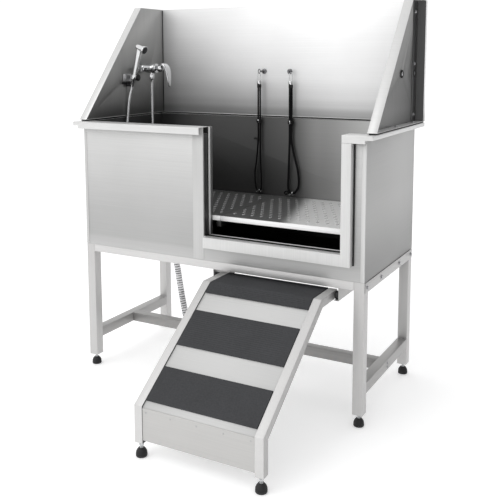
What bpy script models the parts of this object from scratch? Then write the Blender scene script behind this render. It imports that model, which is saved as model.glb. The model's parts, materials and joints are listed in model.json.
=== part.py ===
"""Free-standing stainless pet grooming tub with a sliding door, splash walls, faucet and pull-out ramp.

The object stands on z = 0. X runs along the tub, Y from its front to its back. All sizes are in metres.
"""
import math

import bmesh
import bpy
from mathutils import Matrix, Vector

# Driving dimensions of the tub and its frame
RIM_LENGTH = 1.270
RIM_DEPTH = 0.610
RAMP_REACH = 0.490
RIM_TOP = 1.025
RIM_WIDTH = 0.031
RIM_DROP = 0.027
SIDE_DROP = 0.015
SPLASH_TOP = 1.500
BODY_BOTTOM = 0.520
SHEET = 0.0015
GAP = 0.0003
TUBE = 0.038
LEG_BOTTOM = 0.044
RAIL_DROP = 0.030

FOOT_R = 0.019
RAMP_TUBE = 0.030

# The object's box is centred on the origin, so the rim's front edge follows from the depths
FRONT = (RAMP_REACH + FOOT_R - RAMP_TUBE / 2 - RIM_DEPTH) / 2
BACK = FRONT + RIM_DEPTH
HALF = RIM_LENGTH / 2
BODY_X = HALF - RIM_WIDTH
BODY_FRONT = FRONT + RIM_WIDTH
BODY_BACK = BACK - RIM_WIDTH

# Door opening, the pocket that the door slides into, and the door
OPEN_LEFT = -0.035
OPEN_RIGHT = 0.526
SILL_TOP = 0.616
SILL_BOTTOM = 0.575
JAMB_WIDTH = 0.035
LINER_Y = FRONT + 0.070
TRACK_Z = 0.580
DOOR_TOP = 1.000
DOOR_LEFT = -0.6015
DOOR_RIGHT = OPEN_LEFT - 0.001
DOOR_DEPTH = 0.024

# Floor grates and the ledges that carry them
GRATE_TOP = 0.685
GRATE_DROP = 0.022
GRATE_FRONT = FRONT + 0.095
GRATE_BACK = BODY_BACK - 0.008
LEDGE = 0.014

# Splash walls
SPLASH_GAP = 0.0055
SPLASH_X = 0.600
SPLASH_FRONT_LOW = FRONT + 0.041
SPLASH_FRONT_HIGH = FRONT + 0.425
SPLASH_REAR = BACK - 0.0205
SUPPLY_HOLE = 0.0115
SPARE_HOLES = (FRONT + 0.402, FRONT + 0.560)
SPARE_HOLE_Z = 1.220

# Lower stretchers
STRETCHER_LOW = 0.115
STRETCHER_HIGH = 0.153
LONG_Y = FRONT + 0.300

# Ramp, measured at its two bent rails
RAMP_LEFT = 0.022
RAMP_RIGHT = 0.490
RAMP_TOP = 0.474
RAMP_TOP_END = FRONT + 0.070
RAMP_BEND_Y = FRONT - 0.068
RAMP_BEND_Z = 0.1765
RAMP_FRONT = FRONT - RAMP_REACH
RAMP_POST_BOTTOM = 0.050
MAT_THICK = 0.005
ROLLER_Y = FRONT + 0.052
ROLLER_Z = RAMP_TOP - RAMP_TUBE / 2
ROLLER_R = 0.015
AXLE_R = 0.004

# Faucet and hand shower on the left splash wall
FAUCET_X = -0.562
FAUCET_Y = FRONT + 0.432
FAUCET_Z = 1.234
INLET_SPREAD = 0.102
LEVER_X = -0.507
HOSE_R = 0.007
GRIP_BOTTOM = Vector((-0.574, FRONT + 0.322, 1.176))
GRIP_LEAN = math.radians(15.3)

# Restraint loops on the back splash
LOOP_Y = SPLASH_REAR - 0.026
EYE_Z = 1.222
EYE_R = 0.009
EYES = {"left": -0.068, "right": 0.054}
LOOPS = {"left": -0.080, "right": 0.071}
STRAP_R = 0.0045

# Drain
DRAIN = Vector((-0.420, FRONT + 0.400, BODY_BOTTOM))
DRAIN_HOSE_R = 0.015
TAIL_BOTTOM = 0.455

FINISHES = {
    "stainless": ((0.62, 0.62, 0.61), 0.30, 1.0),
    "frame_steel": ((0.58, 0.58, 0.57), 0.38, 1.0),
    "chrome": ((0.80, 0.80, 0.81), 0.08, 1.0),
    "rubber": ((0.02, 0.02, 0.02), 0.75, 0.0),
    "mat": ((0.055, 0.055, 0.06), 0.80, 0.0),
    "black_plastic": ((0.015, 0.015, 0.015), 0.45, 0.0),
    "webbing": ((0.012, 0.012, 0.012), 0.70, 0.0),
    "drain_hose": ((0.42, 0.42, 0.43), 0.50, 0.0),
    "seal": ((0.01, 0.01, 0.01), 0.85, 0.0),
}


def clear_scene():
    for obj in list(bpy.data.objects):
        bpy.data.objects.remove(obj, do_unlink=True)


def new_collection(name):
    collection = bpy.data.collections.new(name)
    bpy.context.scene.collection.children.link(collection)
    return collection


clear_scene()
PARTS = new_collection("pet_grooming_tub")
TOOLS = new_collection("cutters")


def make_finish(name):
    colour, roughness, metallic = FINISHES[name]
    material = bpy.data.materials.new(name)
    material.use_nodes = True
    shader = material.node_tree.nodes["Principled BSDF"]
    shader.inputs["Base Color"].default_value = (*colour, 1.0)
    shader.inputs["Roughness"].default_value = roughness
    shader.inputs["Metallic"].default_value = metallic
    return material


MATERIALS = {name: make_finish(name) for name in FINISHES}


def place(obj, finish=None):
    """Links a part with its finish, or a cutter, which is only drawn as wire."""
    if finish:
        PARTS.objects.link(obj)
        obj.data.materials.append(MATERIALS[finish])
        return obj
    TOOLS.objects.link(obj)
    obj.hide_render = True
    obj.display_type = "WIRE"
    return obj


def mesh_object(name, bm, finish=None):
    mesh = bpy.data.meshes.new(name)
    bm.to_mesh(mesh)
    bm.free()
    return place(bpy.data.objects.new(name, mesh), finish)


def cube(lo, hi):
    """A cube primitive stretched between two corners."""
    lo, hi = Vector(lo), Vector(hi)
    bm = bmesh.new()
    bmesh.ops.create_cube(bm, size=1.0)
    for vert in bm.verts:
        vert.co = Vector((a + (c + 0.5) * (b - a) for a, b, c in zip(lo, hi, vert.co)))
    bm.normal_update()
    return bm


def box(name, lo, hi, finish=None):
    return mesh_object(name, cube(lo, hi), finish)


def solidify(obj, wall, side=-1.0):
    """Gives an open surface its sheet thickness: side -1 grows behind the faces, 1 in front."""
    modifier = obj.modifiers.new("sheet", "SOLIDIFY")
    modifier.thickness = wall
    modifier.offset = side
    modifier.use_even_offset = True
    return obj


def remove_sides(bm, open_sides):
    """Deletes the faces that look along the named directions, such as "+z"."""
    for side in open_sides:
        sign = 1.0 if side[0] == "+" else -1.0
        axis = "xyz".index(side[1])
        faces = [face for face in bm.faces if face.normal[axis] * sign > 0.9]
        bmesh.ops.delete(bm, geom=faces, context="FACES")


def folded_box(name, lo, hi, open_sides, wall, finish=None):
    """A box of sheet metal with the named sides left open."""
    bm = cube(lo, hi)
    remove_sides(bm, open_sides)
    return solidify(mesh_object(name, bm, finish), wall)


def on_axis(axis, along, first, second):
    """A point from its place along an axis and its two other coordinates, in X, Y, Z order."""
    if axis == "x":
        return Vector((along, first, second))
    if axis == "y":
        return Vector((first, along, second))
    return Vector((first, second, along))


def folded_strip(name, profile, axis, start, end, wall, side, finish=None):
    """Sheet metal folded along an open profile: side 1 thickens it to the profile's left, -1 to its right."""
    bm = bmesh.new()
    verts = [bm.verts.new(on_axis(axis, start, *point)) for point in profile]
    edges = [bm.edges.new(pair) for pair in zip(verts, verts[1:])]
    grown = bmesh.ops.extrude_edge_only(bm, edges=edges)
    moved = [item for item in grown["geom"] if isinstance(item, bmesh.types.BMVert)]
    bmesh.ops.translate(bm, verts=moved, vec=on_axis(axis, end - start, 0.0, 0.0))
    bmesh.ops.recalc_face_normals(bm, faces=bm.faces)
    first = Vector(profile[1]) - Vector(profile[0])
    leftward = on_axis(axis, 0.0, -first.y, first.x)
    first_face = next(face for face in bm.faces if verts[0] in face.verts)
    if first_face.normal.dot(leftward) < 0:
        bmesh.ops.reverse_faces(bm, faces=bm.faces)
    return solidify(mesh_object(name, bm, finish), wall, side)


def prism(name, outline, axis, start, end, finish=None):
    """A filled flat outline, extruded along an axis, as a closed mesh."""
    curve = bpy.data.curves.new(name, "CURVE")
    curve.dimensions = "2D"
    curve.fill_mode = "BOTH"
    curve.extrude = abs(end - start) / 2
    spline = curve.splines.new("POLY")
    spline.points.add(len(outline) - 1)
    for point, (first, second) in zip(spline.points, outline):
        point.co = (first, second, 0.0, 1.0)
    spline.use_cyclic_u = True
    drawn = bpy.data.objects.new(name, curve)
    bpy.context.scene.collection.objects.link(drawn)
    middle = (start + end) / 2
    columns = (on_axis(axis, 0, 1, 0), on_axis(axis, 0, 0, 1), on_axis(axis, 1, 0, 0))
    drawn.matrix_world = Matrix.Translation(on_axis(axis, middle, 0, 0)) @ Matrix(columns).transposed().to_4x4()
    return made_mesh(drawn, name, finish)


def made_mesh(drawn, name, finish):
    """Turns a drawn curve object into a closed mesh object in world space."""
    bpy.context.view_layer.update()
    evaluated = drawn.evaluated_get(bpy.context.evaluated_depsgraph_get())
    mesh = bpy.data.meshes.new_from_object(evaluated)
    bm = bmesh.new()
    bm.from_mesh(mesh)
    bm.transform(drawn.matrix_world)
    bmesh.ops.remove_doubles(bm, verts=bm.verts, dist=0.00001)
    bmesh.ops.recalc_face_normals(bm, faces=bm.faces)
    bpy.data.objects.remove(drawn, do_unlink=True)
    bpy.data.meshes.remove(mesh)
    return mesh_object(name, bm, finish)


def turned(name, profile, place_at, finish=None, steps=24, turn=Matrix()):
    """A turned piece: (radius, height) points run down the outer side, top to bottom."""
    bm = bmesh.new()
    verts = [bm.verts.new((radius, 0.0, height)) for radius, height in profile]
    for pair in zip(verts, verts[1:]):
        bm.edges.new(pair)
    if profile[0][0] > 0:
        bm.edges.new((verts[-1], verts[0]))
    obj = mesh_object(name, bm, finish)
    screw = obj.modifiers.new("turn", "SCREW")
    screw.steps = steps
    screw.render_steps = steps
    screw.use_merge_vertices = True
    screw.merge_threshold = 0.00001
    screw.use_smooth_shade = True
    obj.matrix_world = Matrix.Translation(place_at) @ turn
    return obj


ALONG_X = Matrix.Rotation(math.radians(90), 4, "Y")
ALONG_Y = Matrix.Rotation(math.radians(-90), 4, "X")


def rod(name, start, end, radius, finish=None, steps=20):
    """A solid cylinder between two points."""
    start, end = Vector(start), Vector(end)
    line = end - start
    bm = bmesh.new()
    sizes = {"segments": steps, "radius1": radius, "radius2": radius, "depth": line.length}
    bmesh.ops.create_cone(bm, cap_ends=True, **sizes)
    turn = Vector((0, 0, 1)).rotation_difference(line).to_matrix().to_4x4()
    bm.transform(Matrix.Translation((start + end) / 2) @ turn)
    return mesh_object(name, bm, finish)


def combine(obj, tool, operation):
    modifier = obj.modifiers.new(tool.name, "BOOLEAN")
    modifier.operation = operation
    modifier.object = tool
    return obj


def cut(obj, *tools):
    for tool in tools:
        combine(obj, tool, "DIFFERENCE")
    return obj


def fuse(obj, *tools):
    for tool in tools:
        combine(obj, tool, "UNION")
    return obj


def smooth_route(points, spacing):
    """Evenly spaced points on a smooth curve through a route's own points."""
    ends = [2 * points[0] - points[1], *points, 2 * points[-1] - points[-2]]
    fine = []
    for before, start, end, after in zip(ends, ends[1:], ends[2:], ends[3:]):
        for step in range(24):
            t = step / 24
            spread = (2 * before - 5 * start + 4 * end - after) * t * t
            twist = (3 * start - before - 3 * end + after) * t * t * t
            fine.append((2 * start + (end - before) * t + spread + twist) / 2)
    fine.append(points[-1])
    lengths = [0.0]
    for start, end in zip(fine, fine[1:]):
        lengths.append(lengths[-1] + (end - start).length)
    count = max(2, round(lengths[-1] / spacing))
    even = []
    index = 0
    for step in range(count + 1):
        target = lengths[-1] * step / count
        while index < len(lengths) - 2 and lengths[index + 1] < target:
            index += 1
        share = (target - lengths[index]) / (lengths[index + 1] - lengths[index])
        even.append(fine[index].lerp(fine[index + 1], share))
    return even


def cord(name, points, radius, finish, cyclic=False):
    """A plain round tube along a route."""
    curve = bpy.data.curves.new(name, "CURVE")
    curve.dimensions = "3D"
    curve.bevel_depth = radius
    curve.bevel_resolution = 2
    curve.use_fill_caps = True
    spline = curve.splines.new("POLY")
    spline.points.add(len(points) - 1)
    for point, place_at in zip(spline.points, points):
        point.co = (*place_at, 1.0)
    spline.use_cyclic_u = cyclic
    return place(bpy.data.objects.new(name, curve), finish)


def lay_cord(name, points, radius, surface, finish):
    """A tube whose route is kept above the surface that part of it lies on."""
    laid = [Vector((point.x, point.y, max(point.z, surface + radius))) for point in points]
    return cord(name, laid, radius, finish)


def offset_path(path, distance):
    """A flat open path moved sideways to its right by a distance, with mitred corners."""
    points = [Vector(point) for point in path]
    normals = []
    for start, end in zip(points, points[1:]):
        along = (end - start).normalized()
        normals.append(Vector((along.y, -along.x)))
    moved = [points[0] + normals[0] * distance]
    for point, first, second in zip(points[1:-1], normals, normals[1:]):
        mitre = (first + second).normalized()
        moved.append(point + mitre * distance / mitre.dot(first))
    moved.append(points[-1] + normals[-1] * distance)
    return [tuple(point) for point in moved]


def side_sign(side):
    return -1.0 if side == "left" else 1.0


# Frame


def levelling_foot(name, x, y):
    """A rubber-capped levelling foot with its jam nut and threaded stud."""
    pad = [(FOOT_R, 0.012), (FOOT_R, 0.003), (FOOT_R - 0.003, 0.0), (0.0, 0.0)]
    dome = [(0.010, 0.030), (0.0155, 0.024)]
    nut = [(0.008, 0.0435), (0.008, 0.0360), (0.006, 0.0355), (0.006, 0.030)]
    stud = [(0.0, 0.078), (0.0032, 0.078), (AXLE_R, 0.076), (AXLE_R, 0.0435)]
    return turned(name, stud + nut + dome + pad, (x, y, 0.0), "rubber", steps=20)


def leg(name, x, y):
    """A square leg, open at the top, with a drilled foot plate at the bottom."""
    lo = (x - TUBE / 2, y - TUBE / 2, LEG_BOTTOM)
    hi = (x + TUBE / 2, y + TUBE / 2, BODY_BOTTOM - GAP)
    obj = folded_box(name, lo, hi, ["+z"], SHEET, "frame_steel")
    stud_hole = rod("cut_" + name, (x, y, 0.03), (x, y, 0.06), AXLE_R + 0.0008)
    return cut(obj, stud_hole)


def build_frame():
    leg_x = BODY_X - TUBE / 2
    rows = {"front": BODY_FRONT + TUBE / 2, "rear": BODY_BACK - TUBE / 2}
    for row, y in rows.items():
        for side in ("left", "right"):
            x = side_sign(side) * leg_x
            leg(f"leg_{row}_{side}", x, y)
            levelling_foot(f"foot_{row}_{side}", x, y)
        lo = (-(BODY_X - TUBE - GAP), y - TUBE / 2, BODY_BOTTOM - RAIL_DROP)
        hi = (BODY_X - TUBE - GAP, y + TUBE / 2, BODY_BOTTOM - GAP)
        folded_box(f"rail_{row}", lo, hi, ["-x", "+x"], SHEET, "frame_steel")
    inner_front = BODY_FRONT + TUBE + GAP
    inner_rear = BODY_BACK - TUBE - GAP
    for side in ("left", "right"):
        sign = side_sign(side)
        face, skin = sorted((sign * (BODY_X + GAP), sign * (BODY_X + 0.0028)))
        lo = (face, BODY_FRONT + 0.006, BODY_BOTTOM - 0.037)
        rail = box(f"side_rail_{side}", lo, (skin, BODY_BACK - 0.006, BODY_BOTTOM - 0.001), "frame_steel")
        inner, skin = sorted((sign * (BODY_X - TUBE), sign * (BODY_X + 0.0020)))
        lo = (inner, inner_front, BODY_BOTTOM - 0.0035)
        fuse(rail, box(f"side_ledge_{side}", lo, (skin, inner_rear, BODY_BOTTOM - 0.0010)))
        near, far = sorted((sign * (BODY_X - TUBE), sign * BODY_X))
        lo = (near, inner_front, STRETCHER_LOW)
        hi = (far, inner_rear, STRETCHER_HIGH)
        folded_box(f"stretcher_{side}", lo, hi, ["-y", "+y"], SHEET, "frame_steel")
    lo = (-(BODY_X - TUBE - GAP), LONG_Y - TUBE / 2, STRETCHER_LOW)
    hi = (BODY_X - TUBE - GAP, LONG_Y + TUBE / 2, STRETCHER_HIGH)
    folded_box("stretcher_long", lo, hi, ["-x", "+x"], SHEET, "frame_steel")


# Tub


def build_basin():
    lo = (-BODY_X, BODY_FRONT, BODY_BOTTOM)
    hi = (BODY_X, BODY_BACK, RIM_TOP - SHEET - GAP)
    basin = folded_box("basin", lo, hi, ["+z"], SHEET, "stainless")
    doorway = box("cut_doorway", (OPEN_LEFT, FRONT, SILL_TOP - 0.004), (OPEN_RIGHT, LINER_Y - 0.01, 1.1))
    drain_hole = rod("cut_drain_hole", DRAIN - Vector((0, 0, 0.02)), DRAIN + Vector((0, 0, 0.02)), 0.020)
    cut(basin, doorway, drain_hole)
    ledge_top = GRATE_TOP - GRATE_DROP - GAP
    back = BODY_BACK - SHEET / 2
    for side in ("left", "right"):
        sign = side_sign(side)
        inner, outer = sign * (BODY_X - LEDGE), sign * (BODY_X - SHEET / 2)
        lo = (min(inner, outer), GRATE_FRONT - 0.01, ledge_top - 0.004)
        hi = (max(inner, outer), back, ledge_top)
        fuse(basin, box("ledge_" + side, lo, hi))
    lo = (-0.010, LINER_Y + 0.012, ledge_top - 0.020)
    fuse(basin, box("grate_bearer", lo, (0.010, back, ledge_top)))


def build_front_liner():
    """The inner front wall, with the shelf that the door runs on fused to it."""
    lo = (-(BODY_X - SHEET - GAP), LINER_Y - SHEET, BODY_BOTTOM + SHEET + GAP)
    hi = (BODY_X - SHEET - GAP, LINER_Y, RIM_TOP - SHEET - GAP)
    liner = box("front_liner", lo, hi, "stainless")
    doorway = box("cut_liner_doorway", (OPEN_LEFT, FRONT, SILL_TOP - 0.004), (OPEN_RIGHT, LINER_Y + 0.02, 1.1))
    cut(liner, doorway)
    shelf_lo = (-0.600, BODY_FRONT + SHEET + GAP, TRACK_Z - SHEET)
    fuse(liner, box("door_shelf", shelf_lo, (0.600, LINER_Y - SHEET / 2, TRACK_Z)))


def build_rim():
    lo = (-HALF, FRONT, RIM_TOP - RIM_DROP)
    rim = folded_box("rim", lo, (HALF, BACK, RIM_TOP), ["-z"], SHEET, "stainless")
    mouth_x = BODY_X - SHEET
    mouth = box("cut_mouth", (-mouth_x, LINER_Y, 0.9), (mouth_x, BODY_BACK - SHEET, 1.1))
    doorway = box("cut_rim_doorway", (OPEN_LEFT, FRONT - 0.01, 0.9), (OPEN_RIGHT, LINER_Y + 0.01, 1.1))
    cut(rim, mouth, doorway)
    low, high = RIM_TOP - RIM_DROP - 0.01, RIM_TOP - SIDE_DROP
    for side in ("left", "right"):
        sign = side_sign(side)
        inner, outer = sign * (HALF - 0.026), sign * (HALF + 0.01)
        lo = (min(inner, outer), FRONT - 0.01, low)
        cut(rim, box("cut_drip_" + side, lo, (max(inner, outer), BACK + 0.01, high)))
    cut(rim, box("cut_drip_rear", (-0.7, BACK - 0.012, low), (0.7, BACK + 0.01, high)))


def build_door_frame():
    """The proud L-shaped frame of the opening: its sill and its right jamb."""
    jamb_right = OPEN_RIGHT + JAMB_WIDTH
    jamb_top = RIM_TOP - RIM_DROP - GAP
    left = OPEN_LEFT + 0.013
    outline = [(left, SILL_BOTTOM), (jamb_right, SILL_BOTTOM), (jamb_right, jamb_top)]
    outline += [(OPEN_RIGHT, jamb_top), (OPEN_RIGHT, SILL_TOP), (left, SILL_TOP)]
    frame = prism("door_frame", outline, "y", FRONT, BODY_FRONT - GAP, "stainless")
    bm = bmesh.new()
    bm.from_mesh(frame.data)
    remove_sides(bm, ["+y"])
    bm.to_mesh(frame.data)
    bm.free()
    solidify(frame, SHEET)


def build_door():
    middle = (BODY_FRONT + SHEET + LINER_Y - SHEET) / 2
    lo = (DOOR_LEFT, middle - DOOR_DEPTH / 2, TRACK_Z + GAP)
    hi = (DOOR_RIGHT, middle + DOOR_DEPTH / 2, DOOR_TOP)
    folded_box("door", lo, hi, ["+y"], 0.0012, "stainless")


def build_grates():
    edge = BODY_X - SHEET - 0.004
    for side, span in {"left": (-edge, -0.001), "right": (0.001, edge)}.items():
        lo = (span[0], GRATE_FRONT, GRATE_TOP - GRATE_DROP)
        folded_box(f"grate_{side}", lo, (span[1], GRATE_BACK, GRATE_TOP), ["-z"], SHEET, "stainless")


def build_drain():
    """Drain flange and tail pipe, the lift-out strainer, and the waste hose."""
    floor = BODY_BOTTOM + SHEET + GAP
    outside = [(0.040, floor + 0.002), (0.040, floor), (0.0185, floor), (0.0185, 0.500)]
    outside += [(0.0150, 0.498), (0.0150, TAIL_BOTTOM)]
    inside = [(0.0115, TAIL_BOTTOM), (0.0115, 0.505), (0.0165, floor + 0.002)]
    centre = Vector((DRAIN.x, DRAIN.y, 0.0))
    turned("drain_fitting", outside + inside, centre, "chrome")
    top = floor + 0.002 + GAP
    dome = [(0.0, top + 0.012), (0.012, top + 0.010), (0.022, top + 0.005), (0.032, top + 0.002)]
    cup = [(0.032, top), (0.0140, top), (0.0120, top - 0.012), (0.0, top - 0.012)]
    turned("drain_strainer", dome + cup, centre, "chrome")
    end = Vector((DRAIN.x, DRAIN.y, TAIL_BOTTOM - GAP))
    route = [
        end,
        end - Vector((0, 0, 0.030)),
        Vector((DRAIN.x + 0.010, DRAIN.y, 0.370)),
        Vector((DRAIN.x + 0.026, DRAIN.y + 0.002, 0.270)),
        Vector((DRAIN.x + 0.040, DRAIN.y + 0.004, 0.190)),
        Vector((DRAIN.x + 0.058, DRAIN.y + 0.006, 0.120)),
        Vector((DRAIN.x + 0.110, DRAIN.y + 0.010, 0.046)),
        Vector((DRAIN.x + 0.190, DRAIN.y + 0.010, 0.0165)),
        Vector((DRAIN.x + 0.290, DRAIN.y - 0.002, 0.0160)),
        Vector((DRAIN.x + 0.400, DRAIN.y - 0.006, 0.0160)),
        Vector((DRAIN.x + 0.520, DRAIN.y + 0.014, 0.0160)),
    ]
    lay_cord("drain_hose", smooth_route(route, 0.030), DRAIN_HOSE_R, 0.0005, "drain_hose")


# Splash walls


def splash_side(side):
    """A side splash: a sheet with its flanges turned outwards, its front edge sloping back."""
    sign = side_sign(side)
    low = RIM_TOP + SPLASH_GAP
    sheet, edge = sign * SPLASH_X, sign * HALF
    bm = cube((min(sheet, edge), 0.0, low), (max(sheet, edge), 1.0, SPLASH_TOP))
    for vert in bm.verts:
        front = SPLASH_FRONT_LOW if vert.co.z < (low + SPLASH_TOP) / 2 else SPLASH_FRONT_HIGH
        vert.co.y = front if vert.co.y < 0.5 else SPLASH_REAR - GAP
    bm.normal_update()
    remove_sides(bm, ["-x" if side == "left" else "+x"])
    return solidify(mesh_object(f"splash_{side}", bm, "stainless"), SHEET)


def build_splash():
    left, right = splash_side("left"), splash_side("right")
    for index, y in enumerate(SPARE_HOLES):
        ends = ((0.59, y, SPARE_HOLE_Z), (0.62, y, SPARE_HOLE_Z))
        cut(right, rod(f"cut_spare_hole_{index + 1}", *ends, SUPPLY_HOLE))
        head = SPLASH_X + SHEET + GAP
        bung = [(0.0, 0.004), (0.011, 0.0035), (0.015, 0.0015), (0.015, 0.0)]
        bung += [(SUPPLY_HOLE - 0.0006, 0.0), (SUPPLY_HOLE - 0.0010, -0.006), (0.0, -0.006)]
        turned(f"hole_plug_{index + 1}", bung, (head, y, SPARE_HOLE_Z), "rubber", turn=ALONG_X)
    for index, shift in enumerate((-INLET_SPREAD / 2, INLET_SPREAD / 2)):
        y = FAUCET_Y + shift
        ends = ((-0.62, y, FAUCET_Z), (-0.59, y, FAUCET_Z))
        cut(left, rod(f"cut_supply_hole_{index + 1}", *ends, SUPPLY_HOLE + 0.001))
    lo = (-HALF, SPLASH_REAR, RIM_TOP + SPLASH_GAP)
    folded_box("splash_back", lo, (HALF, BACK - 0.001, SPLASH_TOP), ["+y"], SHEET, "stainless")
    inner, outer = SPLASH_X + 0.004, HALF - 0.004
    front, rear = SPLASH_FRONT_LOW + 0.006, BACK - 0.004
    outline = [(-outer, front), (-inner, front), (-inner, SPLASH_REAR + 0.002), (inner, SPLASH_REAR + 0.002)]
    outline += [(inner, front), (outer, front), (outer, rear), (-outer, rear)]
    prism("splash_gasket", outline, "z", RIM_TOP + GAP, RIM_TOP + SPLASH_GAP - GAP, "seal")


# Faucet, hand shower and its hose


def build_faucet():
    reach = INLET_SPREAD / 2
    bar = ((FAUCET_X, FAUCET_Y - reach - 0.013, FAUCET_Z), (FAUCET_X, FAUCET_Y + reach + 0.013, FAUCET_Z))
    faucet = rod("faucet_body", *bar, 0.0140, "chrome")
    wall = -SPLASH_X + GAP
    for index, shift in enumerate((-reach, reach)):
        y = FAUCET_Y + shift
        tail = rod(f"faucet_inlet_{index + 1}", (-0.616, y, FAUCET_Z), (FAUCET_X, y, FAUCET_Z), 0.0105)
        cover = rod(f"faucet_cover_{index + 1}", (wall, y, FAUCET_Z), (wall + 0.006, y, FAUCET_Z), 0.0170)
        nut = rod(f"faucet_nut_{index + 1}", (-0.5865, y, FAUCET_Z), (-0.5735, y, FAUCET_Z), 0.0155, steps=6)
        fuse(faucet, tail, cover, nut)
    housing = rod("faucet_housing", (-0.576, FAUCET_Y, FAUCET_Z), (-0.530, FAUCET_Y, FAUCET_Z), 0.0215, steps=24)
    outlet_x = FAUCET_X + 0.009
    outlet = rod("faucet_outlet", (outlet_x, FAUCET_Y, 1.205), (outlet_x, FAUCET_Y, FAUCET_Z), 0.0100)
    outlet_nut = rod("faucet_outlet_nut", (outlet_x, FAUCET_Y, 1.196), (outlet_x, FAUCET_Y, 1.209), 0.0125, steps=6)
    fuse(faucet, housing, outlet, outlet_nut)
    collar = [(0.0205, 0.0055), (0.0205, 0.0), (0.006, 0.0), (0.006, 0.0055)]
    turned("faucet_collar", collar, (-0.5297, FAUCET_Y, FAUCET_Z), "chrome", turn=ALONG_X)
    build_lever()


def build_lever():
    """A ball that tilts in front of the collar, with a curved paddle that hangs from it."""
    bm = bmesh.new()
    bmesh.ops.create_uvsphere(bm, u_segments=20, v_segments=12, radius=0.0165)
    bm.transform(Matrix.Translation((LEVER_X, FAUCET_Y, FAUCET_Z)))
    lever = mesh_object("faucet_lever", bm, "chrome")
    arc = [Vector((LEVER_X - 0.002, 0, 0.014)), Vector((LEVER_X + 0.012, 0, 0.0185))]
    arc += [Vector((LEVER_X + 0.024, 0, 0.010)), Vector((LEVER_X + 0.036, 0, -0.014))]
    arc += [Vector((LEVER_X + 0.046, 0, -0.044)), Vector((LEVER_X + 0.053, 0, -0.078))]
    line = [(point.x, FAUCET_Z + point.z) for point in smooth_route(arc, 0.009)]
    edges = (FAUCET_Y - 0.0165, FAUCET_Y + 0.0165)
    fuse(lever, folded_strip("lever_paddle", line, "y", *edges, 0.005, 0.0))


def grip_point(height, outward=0.0):
    """A point on the hand shower's leaning axis, or beside it in the plane that it leans in."""
    along = Vector((math.sin(GRIP_LEAN), 0, math.cos(GRIP_LEAN)))
    across = Vector((math.cos(GRIP_LEAN), 0, -math.sin(GRIP_LEAN)))
    return GRIP_BOTTOM + along * height + across * outward


def build_shower():
    lean = Matrix.Rotation(GRIP_LEAN, 4, "Y")
    grip = [(0.0, 0.160), (0.0090, 0.160), (0.0108, 0.148), (0.0105, 0.020), (0.0092, 0.016)]
    grip += [(0.0098, 0.0145), (0.0088, 0.0), (0.0, 0.0)]
    shower = turned("hand_shower", grip, GRIP_BOTTOM, "chrome", turn=lean)
    head = [(0.0, 0.012), (0.014, 0.011), (0.024, 0.006), (0.029, -0.001), (0.030, -0.009)]
    head += [(0.0265, -0.0125), (0.0, -0.0125)]
    tilt = Matrix.Rotation(math.radians(-38), 4, "Y")
    fuse(shower, turned("shower_head", head, grip_point(0.157, 0.012), turn=tilt))
    ring = [(0.0165, 0.034), (0.0150, 0.010), (0.0122, 0.010), (0.0122, 0.034)]
    holder = turned("shower_holder", ring, GRIP_BOTTOM, "chrome", turn=lean)
    ring_side = grip_point(0.022) + Vector((0, 0.0145, 0))
    knuckle = Vector((ring_side.x, FRONT + 0.346, ring_side.z))
    pivot = rod("holder_pivot", ring_side, knuckle + Vector((0, 0.010, 0)), 0.0100)
    wall = Vector((-SPLASH_X + GAP, knuckle.y, knuckle.z))
    base = rod("holder_base", wall, wall + Vector((0.006, 0, 0)), 0.0145)
    arm = rod("holder_arm", wall + Vector((0.003, 0, 0)), knuckle, 0.0070, steps=12)
    fuse(holder, pivot, base, arm)
    build_shower_hose()


def build_shower_hose():
    """The flexible hose: from the faucet's outlet down, round a loop on the floor grate, and up to the grip."""
    start = Vector((FAUCET_X + 0.009, FAUCET_Y, 1.196 - GAP))
    floor = GRATE_TOP + 0.0008 + HOSE_R
    end = grip_point(-GAP)
    route = [
        start,
        start - Vector((0, 0, 0.100)),
        Vector((-0.5520, FRONT + 0.432, 0.950)),
        Vector((-0.5470, FRONT + 0.431, 0.810)),
        Vector((-0.5150, FRONT + 0.424, 0.722)),
        Vector((-0.4500, FRONT + 0.400, floor)),
        Vector((-0.3850, FRONT + 0.345, floor)),
        Vector((-0.3640, FRONT + 0.272, floor)),
        Vector((-0.3950, FRONT + 0.200, floor)),
        Vector((-0.4650, FRONT + 0.168, floor)),
        Vector((-0.5360, FRONT + 0.190, 0.706)),
        Vector((-0.5800, FRONT + 0.235, 0.764)),
        Vector((-0.5905, FRONT + 0.272, 0.870)),
        Vector((-0.5910, FRONT + 0.298, 1.000)),
        Vector((-0.5880, FRONT + 0.312, 1.100)),
        grip_point(-0.030),
        end,
    ]
    lay_cord("shower_hose", smooth_route(route, 0.022), HOSE_R, GRATE_TOP + 0.0008, "chrome")


# Restraint loops


def stadium(half_width, top, bottom, x, y, steps=6):
    """The closed centre line of a long link in a plane of constant y."""
    points = []
    for index in range(steps + 1):
        turn = math.pi * index / steps
        points.append(Vector((x + half_width * math.cos(turn), y, top - half_width + half_width * math.sin(turn))))
    for index in range(steps + 1):
        turn = math.pi + math.pi * index / steps
        points.append(Vector((x + half_width * math.cos(turn), y, bottom + half_width + half_width * math.sin(turn))))
    return points


def wire_ring(name, points, radius):
    """A closed wire as a mesh, so that it can be fused with other shapes."""
    drawn = cord(name, points, radius, "chrome", cyclic=True)
    drawn.data.materials.clear()
    return made_mesh(drawn, name, None)


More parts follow.
